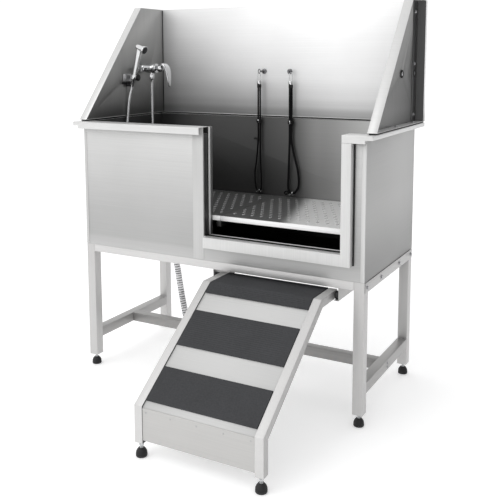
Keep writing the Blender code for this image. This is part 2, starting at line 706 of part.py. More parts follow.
def eye_bolt(side, x):
    root = EYES[side]
    ends = ((root, SPLASH_REAR - GAP, EYE_Z), (root, SPLASH_REAR - 0.004, EYE_Z))
    base = rod(f"eye_bolt_{side}", *ends, 0.011, "chrome")
    ends = ((root, SPLASH_REAR - 0.003, EYE_Z), (x, LOOP_Y + EYE_R - 0.0005, EYE_Z))
    shank = rod(f"eye_shank_{side}", *ends, 0.0035, steps=12)
    circle = []
    for index in range(16):
        turn = math.tau * index / 16
        circle.append(Vector((x, LOOP_Y + EYE_R * math.cos(turn), EYE_Z + EYE_R * math.sin(turn))))
    fuse(base, shank, wire_ring(f"eye_ring_{side}", circle, 0.0018))


def snap_hook(side, x):
    """The link that hangs in the eye, with the barrel that clamps both ends of the strap."""
    top = EYE_Z - EYE_R + 0.0018 + 0.0018 + GAP
    barrel_top, barrel_low = 1.181, 1.167
    barrel = rod(f"snap_hook_{side}", (x, LOOP_Y, barrel_low), (x, LOOP_Y, barrel_top), 0.0105, "chrome")
    link = stadium(0.0065, top, barrel_top - 0.002, x, LOOP_Y)
    return fuse(barrel, wire_ring(f"snap_link_{side}", link, 0.0018))


LOOP_SHAPES = {
    "left": ((-0.0130, 0.835), (-0.0215, 0.775), (-0.0155, 0.714), (0.0, 0.6995), (0.0105, 0.716)),
    "right": ((-0.0065, 0.830), (-0.0085, 0.775), (-0.0090, 0.720), (0.0090, 0.6995), (0.0370, 0.728)),
}
LOOP_RETURNS = {"left": ((0.0085, 0.790), (0.0055, 0.865)), "right": ((0.0370, 0.790), (0.0170, 0.868))}


def restraint_strap(side, x):
    """One strap doubled back on itself: two strands together at the top that open into a loop."""
    near = 0.0052
    left = [(-near, 1.1667), (-near, 1.100), (-near, 1.000), (-near, 0.930)]
    right = [(near, 0.930), (near, 1.000), (near, 1.100), (near, 1.1667)]
    outline = left + list(LOOP_SHAPES[side]) + list(LOOP_RETURNS[side]) + right
    points = smooth_route([Vector((x + shift, LOOP_Y, z)) for shift, z in outline], 0.020)
    cord(f"restraint_strap_{side}", points, STRAP_R, "webbing")
    lowest = min(range(len(points)), key=lambda index: points[index].z)
    middle = points[lowest]
    along = (points[lowest + 1] - points[lowest - 1]).normalized()
    collar_clip(side, middle, Vector((0, 1, 0)), along.cross(Vector((0, 1, 0))))


def collar_clip(side, middle, first, second):
    """A ring round the strap's lowest point, with the clip that it carries."""
    circle = []
    for index in range(14):
        turn = math.tau * index / 14
        circle.append(middle + 0.0085 * (first * math.cos(turn) + second * math.sin(turn)))
    start = middle - first * 0.0090
    body = rod(f"collar_clip_{side}", start, start + Vector((-0.004, -0.022, 0)), 0.0035, "chrome", steps=10)
    fuse(body, wire_ring(f"clip_ring_{side}", circle, 0.0018))


def strap_slider(side, x):
    outer, inner = (0.0130, 0.0075), (0.0105, 0.0055)
    low, high = 1.000, 1.014
    lo = (x - outer[0], LOOP_Y - outer[1], low)
    slider = box(f"strap_slider_{side}", lo, (x + outer[0], LOOP_Y + outer[1], high), "chrome")
    lo = (x - inner[0], LOOP_Y - inner[1], low - 0.01)
    cut(slider, box(f"cut_slider_{side}", lo, (x + inner[0], LOOP_Y + inner[1], high + 0.01)))


# Ramp


def ramp_path(drop=0.0, front=0.0):
    """The ramp's side line from its top end to its lower bend, moved down square to itself."""
    path = [(RAMP_TOP_END, RAMP_TOP), (RAMP_BEND_Y, RAMP_TOP), (RAMP_FRONT, RAMP_BEND_Z)]
    path = offset_path(path, -drop)
    start, end = Vector(path[1]), Vector(path[2])
    reach = (RAMP_FRONT + front - start.x) / (end.x - start.x)
    path[2] = tuple(start.lerp(end, reach))
    return path


def ramp_rail(side, left):
    """A square tube bent from a level top over the slope to an upright front post."""
    centre_x = left + RAMP_TUBE / 2
    upper, lower = ramp_path(), ramp_path(RAMP_TUBE, RAMP_TUBE)
    outline = [*upper, (RAMP_FRONT, RAMP_POST_BOTTOM), (RAMP_FRONT + RAMP_TUBE, RAMP_POST_BOTTOM), *reversed(lower)]
    rail = prism(f"ramp_rail_{side}", outline, "x", left, left + RAMP_TUBE, "frame_steel")
    upper, lower = ramp_path(SHEET, SHEET), ramp_path(RAMP_TUBE - SHEET, RAMP_TUBE - SHEET)
    upper[0] = (upper[0][0] + 0.01, upper[0][1])
    lower[0] = (lower[0][0] + 0.01, lower[0][1])
    floor = RAMP_POST_BOTTOM + SHEET
    hollow = [*upper, (RAMP_FRONT + SHEET, floor), (RAMP_FRONT + RAMP_TUBE - SHEET, floor), *reversed(lower)]
    cut(rail, prism(f"cut_ramp_rail_{side}", hollow, "x", left + SHEET, left + RAMP_TUBE - SHEET))
    post_y = RAMP_FRONT + RAMP_TUBE / 2
    cut(rail, rod(f"cut_ramp_stud_{side}", (centre_x, post_y, 0.04), (centre_x, post_y, 0.06), AXLE_R + 0.0008))
    sign = side_sign(side)
    face = left if side == "left" else left + RAMP_TUBE
    axle = rod(f"ramp_axle_{side}", (face - sign * 0.001, ROLLER_Y, ROLLER_Z), (face + sign * 0.016, ROLLER_Y, ROLLER_Z), AXLE_R)
    fuse(rail, axle)
    levelling_foot(f"ramp_foot_{side}", centre_x, post_y)
    wheel = [(ROLLER_R, 0.006), (ROLLER_R, -0.006), (AXLE_R + 0.0005, -0.006), (AXLE_R + 0.0005, 0.006)]
    wheel_x = face + sign * 0.0095
    turned(f"ramp_roller_{side}", wheel, (wheel_x, ROLLER_Y, ROLLER_Z), "black_plastic", turn=ALONG_X)
    web, lip = face + sign * 0.0195, face + sign * 0.0025
    channel = [(lip, ROLLER_Z - ROLLER_R - GAP - SHEET), (web, ROLLER_Z - ROLLER_R - GAP - SHEET)]
    channel += [(web, BODY_BOTTOM - RAIL_DROP - GAP), (lip, BODY_BOTTOM - RAIL_DROP - GAP)]
    ends = (BODY_FRONT + 0.004, BODY_BACK - 0.004)
    return folded_strip(f"ramp_guide_{side}", channel, "y", *ends, SHEET, sign, "frame_steel")


def ramp_sheet(name, drop, start, end, wall, side, finish):
    """A sheet that lies on the ramp between two places along its path, measured from the top end."""
    path = [Vector(point) for point in ramp_path(drop, 0.001)]
    spans = [(b - a).length for a, b in zip(path, path[1:])]
    bend = spans[0]

    def at(distance):
        if distance <= bend:
            return path[0].lerp(path[1], distance / spans[0])
        return path[1].lerp(path[2], (distance - bend) / spans[1])

    line = [at(start)]
    if start < bend < end:
        line.append(path[1])
    line.append(at(end))
    lo, hi = RAMP_LEFT + RAMP_TUBE + GAP, RAMP_RIGHT - RAMP_TUBE - GAP
    if finish == "mat":
        lo, hi = lo + 0.002, hi - 0.002
    points = [(p.x, p.y) for p in line]
    return folded_strip(name, points, "x", lo, hi, wall, side, finish)


def build_ramp():
    ramp_rail("left", RAMP_LEFT)
    ramp_rail("right", RAMP_RIGHT - RAMP_TUBE)
    deck_drop = MAT_THICK - 0.001
    slope = Vector((RAMP_BEND_Y - RAMP_FRONT, RAMP_TOP - RAMP_BEND_Z)).length
    bend = RAMP_TOP_END - RAMP_BEND_Y
    ramp_sheet("ramp_deck", deck_drop, 0.002, bend + slope - 0.003, SHEET, 1.0, "stainless")
    mats = {"top": (0.004, bend + 0.046), "middle": (bend + 0.126, bend + 0.272), "lower": (bend + 0.361, bend + 0.490)}
    for name, (start, end) in mats.items():
        ramp_sheet(f"ramp_mat_{name}", deck_drop - GAP, start, end, MAT_THICK, -1.0, "mat")
    lo, hi = RAMP_LEFT + RAMP_TUBE + GAP, RAMP_RIGHT - RAMP_TUBE - GAP
    face, back = RAMP_FRONT + 0.0015, RAMP_FRONT + 0.018
    under = Vector(ramp_path(deck_drop + SHEET + GAP, 0.0)[2]) - Vector(ramp_path(deck_drop + SHEET + GAP, 0.030)[2])
    edge = Vector(ramp_path(deck_drop + SHEET + GAP, 0.0015)[2])
    low = 0.062
    profile = [tuple(edge - under * 0.8), tuple(edge), (face, low), (back, low)]
    folded_strip("ramp_front_plate", profile, "x", lo, hi, SHEET, 1.0, "stainless")


build_frame()
build_basin()
build_front_liner()
build_rim()
build_door_frame()
build_door()
build_grates()
build_drain()
build_splash()
build_faucet()
build_shower()
for SIDE, LOOP_X in LOOPS.items():
    eye_bolt(SIDE, LOOP_X)
    snap_hook(SIDE, LOOP_X)
    restraint_strap(SIDE, LOOP_X)
    strap_slider(SIDE, LOOP_X)
build_ramp()
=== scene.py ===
"""Looks for the pet grooming tub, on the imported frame. Everything is in metres, in the frame's own axes."""
import json
import math

import bmesh
import bpy
from mathutils import Matrix, Vector

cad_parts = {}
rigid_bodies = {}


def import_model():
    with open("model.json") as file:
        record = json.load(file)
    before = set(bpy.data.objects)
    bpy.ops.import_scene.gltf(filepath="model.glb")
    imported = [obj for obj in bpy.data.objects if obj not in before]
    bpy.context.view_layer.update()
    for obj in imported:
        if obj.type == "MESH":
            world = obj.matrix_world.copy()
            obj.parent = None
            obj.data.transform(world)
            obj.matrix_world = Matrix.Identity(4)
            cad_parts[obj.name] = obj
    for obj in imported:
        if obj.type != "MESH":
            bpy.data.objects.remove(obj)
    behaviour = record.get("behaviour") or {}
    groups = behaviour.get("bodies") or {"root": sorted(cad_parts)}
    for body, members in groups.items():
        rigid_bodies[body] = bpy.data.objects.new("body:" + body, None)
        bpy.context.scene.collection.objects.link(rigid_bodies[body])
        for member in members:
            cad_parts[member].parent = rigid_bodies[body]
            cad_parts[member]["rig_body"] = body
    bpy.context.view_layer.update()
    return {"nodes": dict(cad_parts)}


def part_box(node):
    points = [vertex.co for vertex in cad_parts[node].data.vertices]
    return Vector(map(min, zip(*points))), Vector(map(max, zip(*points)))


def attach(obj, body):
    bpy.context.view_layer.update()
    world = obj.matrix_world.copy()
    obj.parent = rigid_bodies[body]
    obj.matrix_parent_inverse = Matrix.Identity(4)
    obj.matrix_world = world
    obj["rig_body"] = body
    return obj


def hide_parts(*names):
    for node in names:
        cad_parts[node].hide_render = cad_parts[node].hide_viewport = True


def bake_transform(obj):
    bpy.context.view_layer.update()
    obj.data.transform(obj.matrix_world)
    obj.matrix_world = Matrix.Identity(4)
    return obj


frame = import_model()

SCENE = bpy.context.scene
COLLECTION = SCENE.collection


# ---- sizes read from the frame

RIM_LOW, RIM_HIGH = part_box("rim")
FRONT, BACK, RIM_TOP = RIM_LOW.y, RIM_HIGH.y, RIM_HIGH.z
BASIN_LOW, BASIN_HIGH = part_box("basin")
BODY_X, BODY_FRONT, BODY_BACK = BASIN_HIGH.x, BASIN_LOW.y, BASIN_HIGH.y
BODY_BOTTOM = BASIN_LOW.z
GRATE_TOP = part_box("grate_right")[1].z
SPLASH_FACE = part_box("splash_back")[0].y
FRAME_LOW, FRAME_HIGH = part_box("door_frame")
OPEN_LEFT, OPEN_RIGHT = FRAME_LOW.x - 0.013, FRAME_HIGH.x - 0.035
LINER_Y = FRONT + 0.070
# the side splashes: inner and outer faces of their sheets, and heights of the beads, bolts and top
SHEET_INNER, SHEET_OUTER = 0.5990, 0.6034
BEAD_Z, FLANGE_Z, SPLASH_TOP = 1.0312, 1.0325, 1.4960
# the doorway: height of its sill, and foot and top of the door's pocket
SILL_Z, POCKET_LOW, POCKET_HIGH = 0.6122, 0.560, 1.0228


# ---- node helpers


class Shader:
    """A material's node tree, with short ways to add and join nodes."""

    def __init__(self, name, rough=0.4, metallic=0.0):
        self.material = bpy.data.materials.new(name)
        self.material.use_nodes = True
        self.tree = self.material.node_tree
        self.surface = self.tree.nodes["Principled BSDF"]
        self.surface.inputs["Roughness"].default_value = rough
        self.surface.inputs["Metallic"].default_value = metallic
        coordinates = self.tree.nodes.new("ShaderNodeTexCoord")
        self.place = coordinates.outputs["Object"]

    def add(self, kind, settings=None, **sockets):
        node = self.tree.nodes.new("ShaderNode" + kind)
        for key, value in (settings or {}).items():
            setattr(node, key, value)
        for key, value in sockets.items():
            self.join(value, node.inputs[key.replace("_", " ")])
        return node

    def join(self, value, socket):
        if isinstance(value, bpy.types.NodeSocket):
            self.tree.links.new(value, socket)
        else:
            socket.default_value = value

    def stretched(self, scale):
        mapping = self.add("Mapping", Vector=self.place)
        mapping.inputs["Scale"].default_value = scale
        return mapping.outputs["Vector"]

    def noise(self, scale, size=1.0, detail=3.0, rough=0.6):
        settings = {"Vector": self.stretched(scale), "Scale": size, "Detail": detail, "Roughness": rough}
        return self.add("TexNoise", **settings).outputs["Fac"]

    def between(self, value, low, high, from_low=0.3, from_high=0.7):
        node = self.add("MapRange", Value=value)
        for key, number in {"From Min": from_low, "From Max": from_high, "To Min": low, "To Max": high}.items():
            node.inputs[key].default_value = number
        return node.outputs["Result"]

    def times(self, first, second, operation="MULTIPLY"):
        node = self.add("Math", {"operation": operation})
        self.join(first, node.inputs[0])
        self.join(second, node.inputs[1])
        return node.outputs[0]

    def plus(self, first, second):
        return self.times(first, second, "ADD")

    def shade(self, colour, factor):
        """A colour whose brightness follows a factor."""
        node = self.add("Mix", {"data_type": "RGBA", "blend_type": "MULTIPLY"})
        node.inputs["Factor"].default_value = 1.0
        node.inputs[6].default_value = (*colour, 1.0)
        grey = self.add("CombineColor", Red=factor, Green=factor, Blue=factor)
        self.join(grey.outputs["Color"], node.inputs[7])
        return node.outputs[2]

    def along(self, axis, stops, turn=0.0):
        """A factor that changes with the place along one axis, turned about Z, given as (place, factor) stops."""
        mapping = self.add("Mapping", Vector=self.place)
        mapping.inputs["Rotation"].default_value = (0.0, 0.0, turn)
        split = self.add("SeparateXYZ", Vector=mapping.outputs["Vector"]).outputs[axis]
        low, high = stops[0][0], stops[-1][0]
        spread = self.between(split, 0.0, 1.0, low, high)
        ramp = self.add("ValToRGB", Fac=spread)
        ramp.color_ramp.interpolation = "EASE"
        elements = ramp.color_ramp.elements
        while len(elements) < len(stops):
            elements.new(0.5)
        for element, (at, factor) in zip(elements, stops):
            element.position = (at - low) / (high - low)
            element.color = (factor, factor, factor, 1.0)
        return ramp.outputs["Color"]

    def bump(self, height, strength, distance):
        node = self.add("Bump", Height=height, Strength=strength, Distance=distance)
        self.join(node.outputs["Normal"], self.surface.inputs["Normal"])


GRAIN = {"X": (3.0, 420.0, 420.0), "Y": (420.0, 3.0, 420.0), "Z": (420.0, 420.0, 3.0)}


def brushed(name, colour, rough, grain, painted_shades=(), bump=0.05, wear=0.05, metallic=0.6):
    """Brushed sheet metal: fine lines along one axis, soft smears, and painted shade and painted reflections that
    change with the place.
    """
    shader = Shader(name, rough, metallic)
    lines = shader.noise(GRAIN[grain], 1.0, 4.0, 0.7)
    smears = shader.noise((2.2, 2.2, 2.2), 1.4, 3.0, 0.55)
    factor = shader.times(shader.between(lines, 1.0 - wear, 1.0 + wear), shader.between(smears, 0.96, 1.03))
    # painted shade and painted reflections: brightness factors by place, multiplied into the colour
    for shade_stops in painted_shades:
        factor = shader.times(factor, shader.along(*shade_stops))
    shader.join(shader.shade(colour, factor), shader.surface.inputs["Base Color"])
    roughness = shader.plus(shader.between(lines, rough - 0.05, rough + 0.05), shader.between(smears, -0.03, 0.05))
    shader.join(roughness, shader.surface.inputs["Roughness"])
    shader.bump(lines, bump, 0.0003)
    return shader.material


def polished(name, colour, rough):
    """Plated metal with faint water spots and smears."""
    shader = Shader(name, rough, 1.0)
    spots = shader.noise((90.0, 90.0, 90.0), 1.0, 2.0, 0.5)
    smears = shader.noise((18.0, 18.0, 18.0), 1.0, 3.0, 0.6)
    factor = shader.between(smears, 0.90, 1.02)
    shader.join(shader.shade(colour, factor), shader.surface.inputs["Base Color"])
    shader.join(shader.between(spots, rough, rough + 0.10, 0.45, 0.75), shader.surface.inputs["Roughness"])
    shader.bump(spots, 0.03, 0.0004)
    return shader.material


def rubbery(name, colour, rough, size=260.0, bump=0.25):
    """Moulded rubber or plastic with a fine grain and dusty high spots."""
    shader = Shader(name, rough)
    shader.surface.inputs["Specular IOR Level"].default_value = 0.35
    grain = shader.noise((size, size, size), 1.0, 3.0, 0.65)
    dust = shader.noise((9.0, 9.0, 9.0), 1.0, 4.0, 0.6)
    factor = shader.times(shader.between(grain, 0.85, 1.12), shader.between(dust, 0.88, 1.18))
    shader.join(shader.shade(colour, factor), shader.surface.inputs["Base Color"])
    shader.join(shader.between(dust, rough - 0.06, rough + 0.08), shader.surface.inputs["Roughness"])
    shader.bump(grain, bump, 0.0004)
    return shader.material


def woven(name, colour):
    """Braided nylon: crossing diagonal yarns that catch a soft sheen."""
    shader = Shader(name, 0.62)
    shader.surface.inputs["Sheen Weight"].default_value = 0.03
    shader.surface.inputs["Specular IOR Level"].default_value = 0.1
    heights = []
    for turn in (0.7, -0.7):
        mapping = shader.add("Mapping", Vector=shader.place)
        mapping.inputs["Rotation"].default_value = (0.0, turn, 0.0)
        settings = {"Vector": mapping.outputs["Vector"], "Scale": 210.0, "Distortion": 0.4}
        heights.append(shader.add("TexWave", {"bands_direction": "X"}, **settings).outputs["Fac"])
    weave = shader.times(*heights)
    fluff = shader.noise((300.0, 300.0, 300.0), 1.0, 2.0, 0.6)
    factor = shader.times(shader.between(weave, 0.7, 1.5, 0.0, 1.0), shader.between(fluff, 0.8, 1.2))
    shader.join(shader.shade(colour, factor), shader.surface.inputs["Base Color"])
    shader.bump(weave, 0.5, 0.0006)
    return shader.material


# ---- materials

# Painted shade and painted reflections on the steels, as factors on their brightness: an axis, (place, factor) stops
# along it, and how far it is turned about Z.
# painted shade: the front panels darker low down, most just below the door's sill
PANEL_PAINTED_SHADE = (2, [(0.515, 0.80), (0.550, 0.75), (0.570, 0.67), (1.025, 1.0)])
# painted shade: the shell's outer sides darker towards the bottom
SIDE_PAINTED_SHADE = (2, [(0.515, 0.52), (0.80, 0.84), (1.025, 1.0)])
# painted shade: a dark band along the foot of the back splash, fading upwards
SPLASH_FOOT_PAINTED_SHADE = (2, [(1.030, 0.42), (1.048, 0.50), (1.080, 0.76), (1.120, 0.90), (1.20, 1.0), (1.5, 1.04)])
# painted reflection: the side splashes dark at the foot, growing lighter upwards past their own colour
SIDE_SPLASH_PAINTED_REFLECTION = (2, [(1.030, 0.52), (1.10, 0.86), (1.25, 1.16), (1.5, 1.66)])
# painted shade: the right side splash darker than the left
RIGHT_SPLASH_PAINTED_SHADE = (0, [(-0.3, 1.04), (0.3, 0.56)])
# painted reflection: the back splash darker towards its left end, where it mirrors the left side splash
SPLASH_LEFT_PAINTED_REFLECTION = (0, [(-0.62, 0.66), (-0.5, 0.84), (-0.30, 0.82), (-0.05, 0.88), (0.3, 1.0), (0.635, 1.0)])
# painted shade: the tub's inner walls near black at the left, lighter towards the right
INSIDE_PAINTED_SHADE = (0, [(-0.60, 0.035), (-0.10, 0.045), (0.06, 0.075), (0.20, 0.24), (0.45, 0.44), (0.60, 0.50)])
# painted shade: the inner walls near black below the grates
BELOW_GRATE_PAINTED_SHADE = (2, [(0.52, 0.08), (0.664, 0.12), (0.686, 1.0), (1.03, 1.0)])
# painted reflection: the grates dark on their left part and light on the right, split along a slanted line
GRATE_PAINTED_REFLECTION = (0, [(-0.60, 0.13), (0.245, 0.15), (0.315, 1.0), (0.75, 1.1)], -0.273)
# painted reflection: the grate lips darker on the same left part
LIP_PAINTED_REFLECTION = (0, [(-0.60, 0.55), (0.245, 0.60), (0.315, 0.72), (0.75, 0.8)], -0.273)
# painted shade: the door-frame steel darker on its left part
FRAME_STRIP_PAINTED_SHADE = (0, [(-0.058, 0.84), (-0.034, 0.84), (-0.026, 1.0)])
# painted shade: the ramp deck darker towards its foot
DECK_PAINTED_SHADE = (2, [(0.17, 0.84), (0.47, 1.08)])

SHELL = brushed("shell steel", (0.62, 0.62, 0.615), 0.42, "X", [PANEL_PAINTED_SHADE])
# painted shade: a darker copy of the shell steel for the tub's outer sides
SHELL_SIDE_SHADED = brushed("shell side steel, painted shade", (0.50, 0.50, 0.495), 0.42, "Y", [SIDE_PAINTED_SHADE])
RIM = brushed("rim steel", (0.66, 0.66, 0.655), 0.38, "X")
FRAME_FACE = brushed("door frame steel", (0.64, 0.64, 0.635), 0.42, "Z", [FRAME_STRIP_PAINTED_SHADE])
SPLASH = brushed("back splash steel", (0.90, 0.90, 0.90), 0.45, "X", [SPLASH_FOOT_PAINTED_SHADE, SPLASH_LEFT_PAINTED_REFLECTION], 0.03, 0.03, 0.4)
SIDE_SPLASH = brushed("side splash steel", (0.30, 0.30, 0.295), 0.36, "Z", [SIDE_SPLASH_PAINTED_REFLECTION, RIGHT_SPLASH_PAINTED_SHADE], 0.05, 0.08)
INSIDE_SHADED_STEEL = brushed("inside steel, painted shade", (0.84, 0.84, 0.83), 0.42, "X", [INSIDE_PAINTED_SHADE, BELOW_GRATE_PAINTED_SHADE], 0.05, 0.05, 0.4)
# painted shade: the basin floor under the grates near black
FLOOR_PAINTED_SHADE = brushed("basin floor steel, painted shade", (0.02, 0.02, 0.02), 0.35, "X")
GRATE = brushed("grate steel", (0.88, 0.88, 0.875), 0.36, "Y", [GRATE_PAINTED_REFLECTION], 0.05, 0.08, 0.4)
# painted highlight: near-white steel on the raised lips round the grate holes, for the glints they catch
GRATE_LIP_PAINTED_GLINT = brushed("grate lip steel, painted glint", (0.95, 0.95, 0.95), 0.25, "Y", [LIP_PAINTED_REFLECTION], 0.05, 0.08, 0.3)
GRATE_EDGE = brushed("grate edge steel", (0.95, 0.95, 0.95), 0.36, "X", (), 0.03, 0.03, 0.2)
TUBE_STEEL = brushed("frame tube steel", (0.55, 0.545, 0.54), 0.44, "Z", (), 0.06)
RAIL_STEEL = brushed("frame rail steel", (0.62, 0.615, 0.61), 0.44, "X", (), 0.06)
CROSS_STEEL = brushed("cross rail steel", (0.50, 0.495, 0.49), 0.44, "Y", (), 0.06)
# painted shade: the low stretchers in darker copies of the frame steel, the long one under the tub darkest
STRETCHER_PAINTED_SHADE = brushed("stretcher steel", (0.41, 0.405, 0.40), 0.44, "Y", (), 0.06)
LONG_STRETCHER_PAINTED_SHADE = brushed("long stretcher steel", (0.33, 0.325, 0.32), 0.44, "X", (), 0.06)
# painted shade: the ramp rails' sides that face the mats near black, their outer sides darker than their tops
RAIL_INNER_PAINTED_SHADE = brushed("ramp rail inner steel, painted shade", (0.07, 0.07, 0.07), 0.40, "Y")
RAIL_OUTER_PAINTED_SHADE = brushed("ramp rail outer steel, painted shade", (0.47, 0.465, 0.46), 0.44, "Y", (), 0.06)
RAMP_RAIL = brushed("ramp rail steel", (0.62, 0.615, 0.61), 0.44, "Y", (), 0.06)
DECK_STEEL = brushed("ramp deck steel", (0.60, 0.60, 0.595), 0.50, "X", [DECK_PAINTED_SHADE])
PLATE_STEEL = brushed("ramp plate steel", (0.52, 0.515, 0.505), 0.48, "X")
# painted shade: near-black steel for the door's end in its pocket, the back splash's end strips, the side splashes'
# rear folds and the strips on their rear corners
BRACKET_PAINTED_SHADE = brushed("corner bracket steel, painted shade", (0.075, 0.075, 0.075), 0.36, "Z")
# painted shade: dark steel for the post in the door pocket's channel
POST_PAINTED_SHADE = brushed("pocket post steel, painted shade", (0.20, 0.20, 0.20), 0.36, "Z")
CHROME = polished("polished chrome", (0.74, 0.745, 0.75), 0.06)
PLATE_ZINC = polished("holder plate steel", (0.62, 0.62, 0.625), 0.34)
ZINC = polished("zinc plate", (0.60, 0.61, 0.62), 0.28)
EYE_STEEL = polished("eye bolt steel", (0.16, 0.16, 0.165), 0.16)
HARDWARE = polished("bolt steel", (0.46, 0.46, 0.47), 0.30)
RUBBER = rubbery("foot rubber", (0.016, 0.016, 0.017), 0.55)
SEAL = rubbery("seal rubber", (0.012, 0.012, 0.012), 0.70)
MAT = rubbery("ramp mat rubber", (0.042, 0.043, 0.046), 0.75, 180.0, 0.35)
ROLLER = rubbery("roller nylon", (0.020, 0.020, 0.021), 0.45, 120.0, 0.1)
HOLDER_BLACK = rubbery("holder black plastic", (0.005, 0.005, 0.0055), 0.38, 150.0, 0.1)
SPRAY = rubbery("spray face plastic", (0.030, 0.030, 0.032), 0.40, 150.0, 0.1)
HOSE_PLASTIC = rubbery("waste hose plastic", (0.86, 0.86, 0.87), 0.48, 140.0, 0.15)
# painted shade: the grooves between the waste hose's ridges in dark plastic
HOSE_GROOVE_PAINTED_SHADE = rubbery("waste hose groove, painted shade", (0.20, 0.20, 0.205), 0.55, 140.0, 0.15)
NYLON = woven("strap nylon", (0.004, 0.004, 0.0045))


# ---- mesh helpers


def settle(obj, body, nodes=()):
    """Finishes a piece: which body it rides on and the CAD nodes that it stands for."""
    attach(obj, body)
    if nodes:
        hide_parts(*nodes)


def mesh_object(name, bm, *materials, smooth=35.0):
    mesh = bpy.data.meshes.new(name)
    bm.normal_update()
    for face in bm.faces:
        face.smooth = True
    for edge in bm.edges:
        if len(edge.link_faces) == 2:
            edge.smooth = edge.calc_face_angle() < math.radians(smooth)
    bm.to_mesh(mesh)
    bm.free()
    obj = bpy.data.objects.new(name, mesh)
    COLLECTION.objects.link(obj)
    for material in materials:
        mesh.materials.append(material)
    return obj


def show(name, bm, material, body="tub", node=None):
    """A piece of one material, with its finish slot, the body it rides on and the CAD node that it stands for."""
    settle(mesh_object(name, bm, material), body, [node] if node else ())


def body_of(node):
    return frame["nodes"][node]["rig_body"]


def finished(node, *materials, width=0.0006, segments=2, pick=None, flat=True):
    """A CAD node's own shape with its edges broken, for edges that catch the light, and its materials by face."""
    bm = bmesh.new()
    bm.from_mesh(frame["nodes"][node].data)
    bmesh.ops.remove_doubles(bm, verts=bm.verts, dist=0.00001)
    if flat:
        bmesh.ops.dissolve_limit(bm, angle_limit=math.radians(1.0), verts=bm.verts, edges=bm.edges)
    if width:
        sharp = [e for e in bm.edges if len(e.link_faces) == 2 and e.calc_face_angle() > math.radians(34)]
        extra = {"clamp_overlap": True, "profile": 0.5, "affect": "EDGES"}
        bmesh.ops.bevel(bm, geom=sharp, offset=width, segments=segments, **extra)
    bm.normal_update()
    for face in bm.faces:
        face.material_index = pick(face) if pick else 0
    settle(mesh_object(node + ".look", bm, *materials), body_of(node), [node])


def lathe(profile, turn=Matrix(), steps=32):
    """A closed turned shape from (radius, height) points down its outer side."""
    bm = bmesh.new()
    rings = []
    for radius, height in profile:
        if radius < 1e-6:
            rings.append([bm.verts.new((0, 0, height))])
            continue
        ring = []
        for index in range(steps):
            angle = math.tau * index / steps
            ring.append(bm.verts.new((radius * math.cos(angle), radius * math.sin(angle), height)))
        rings.append(ring)
    pairs = list(zip(rings, rings[1:]))
    if profile[0][0] > 1e-6:
        pairs.append((rings[-1], rings[0]))
    for upper, lower in pairs:
        for index in range(steps):
            after = (index + 1) % steps
            if len(upper) == 1:
                bm.faces.new((upper[0], lower[index], lower[after]))
            elif len(lower) == 1:
                bm.faces.new((upper[index], lower[0], upper[after]))
            else:
                bm.faces.new((upper[index], lower[index], lower[after], upper[after]))
    bmesh.ops.recalc_face_normals(bm, faces=bm.faces)
    bm.transform(turn)
    return bm


def aim(origin, direction):
    """A matrix that stands +Z along a direction, at an origin."""
    turn = Vector((0, 0, 1)).rotation_difference(Vector(direction)).to_matrix().to_4x4()
    return Matrix.Translation(Vector(origin)) @ turn


def merged(meshes):
    """Several bmeshes as one."""
    whole = bmesh.new()
    for bm in meshes:
        mesh = bpy.data.meshes.new("part")
        bm.to_mesh(mesh)
        bm.free()
        whole.from_mesh(mesh)
        bpy.data.meshes.remove(mesh)
    return whole


def block(lo, hi, bevel=0.0004):
    """A box between two corners with broken edges."""
    lo, hi = Vector(lo), Vector(hi)
    bm = bmesh.new()
    bmesh.ops.create_cube(bm, size=1.0)
    for vert in bm.verts:
        vert.co = Vector([a + (c + 0.5) * (b - a) for a, b, c in zip(lo, hi, vert.co)])
    if bevel:
        bmesh.ops.bevel(bm, geom=list(bm.edges), offset=bevel, segments=2, profile=0.5, affect="EDGES")
    return bm


def skinned(bm, rings):
    """Faces between rings of vertices, closed at both ends."""
    sides = len(rings[0])
    for first, second in zip(rings, rings[1:]):
        for step in range(sides):
            after = (step + 1) % sides
            bm.faces.new((first[step], first[after], second[after], second[step]))
    bm.faces.new(list(reversed(rings[0])))
    bm.faces.new(rings[-1])
    bmesh.ops.recalc_face_normals(bm, faces=bm.faces)
    return bm


def tube(points, radius, sides=16):
    """A tube along close points. radius is a number, or a function of the length so far."""
    bm = bmesh.new()
    points = [Vector(point) for point in points]
    along = [(b - a).normalized() for a, b in zip(points, points[1:])]
    across = along[0].orthogonal().normalized()
    rings, run = [], 0.0
    for index, point in enumerate(points):
        if index:
            run += (point - points[index - 1]).length
        before = along[max(0, index - 1)]
        after = along[min(len(along) - 1, index)]
        line = (before + after).normalized()
        across = (across - line * across.dot(line)).normalized()
        other = line.cross(across)
        size = radius(run) if callable(radius) else radius
        ring = []
        for step in range(sides):
            angle = math.tau * step / sides
            offset = across * math.cos(angle) * size + other * math.sin(angle) * size
            ring.append(bm.verts.new(point + offset))
        rings.append(ring)
    return skinned(bm, rings)


def loft(sections, sides=24, square=0.8):
    """A closed skin through cross-sections, each a centre and its two half-axes."""
    bm = bmesh.new()
    rings = []
    for centre, across, over in sections:
        ring = []
        for step in range(sides):
            angle = math.tau * step / sides
            c, s = math.cos(angle), math.sin(angle)
            c, s = math.copysign(abs(c) ** square, c), math.copysign(abs(s) ** square, s)
            ring.append(bm.verts.new(Vector(centre) + Vector(across) * c + Vector(over) * s))
        rings.append(ring)
    return skinned(bm, rings)


def tangents(points):
    lines = [(b - a).normalized() for a, b in zip(points, points[1:])]
    ends = [lines[0], *lines, lines[-1]]
    return [(a + b).normalized() for a, b in zip(ends, ends[1:])]


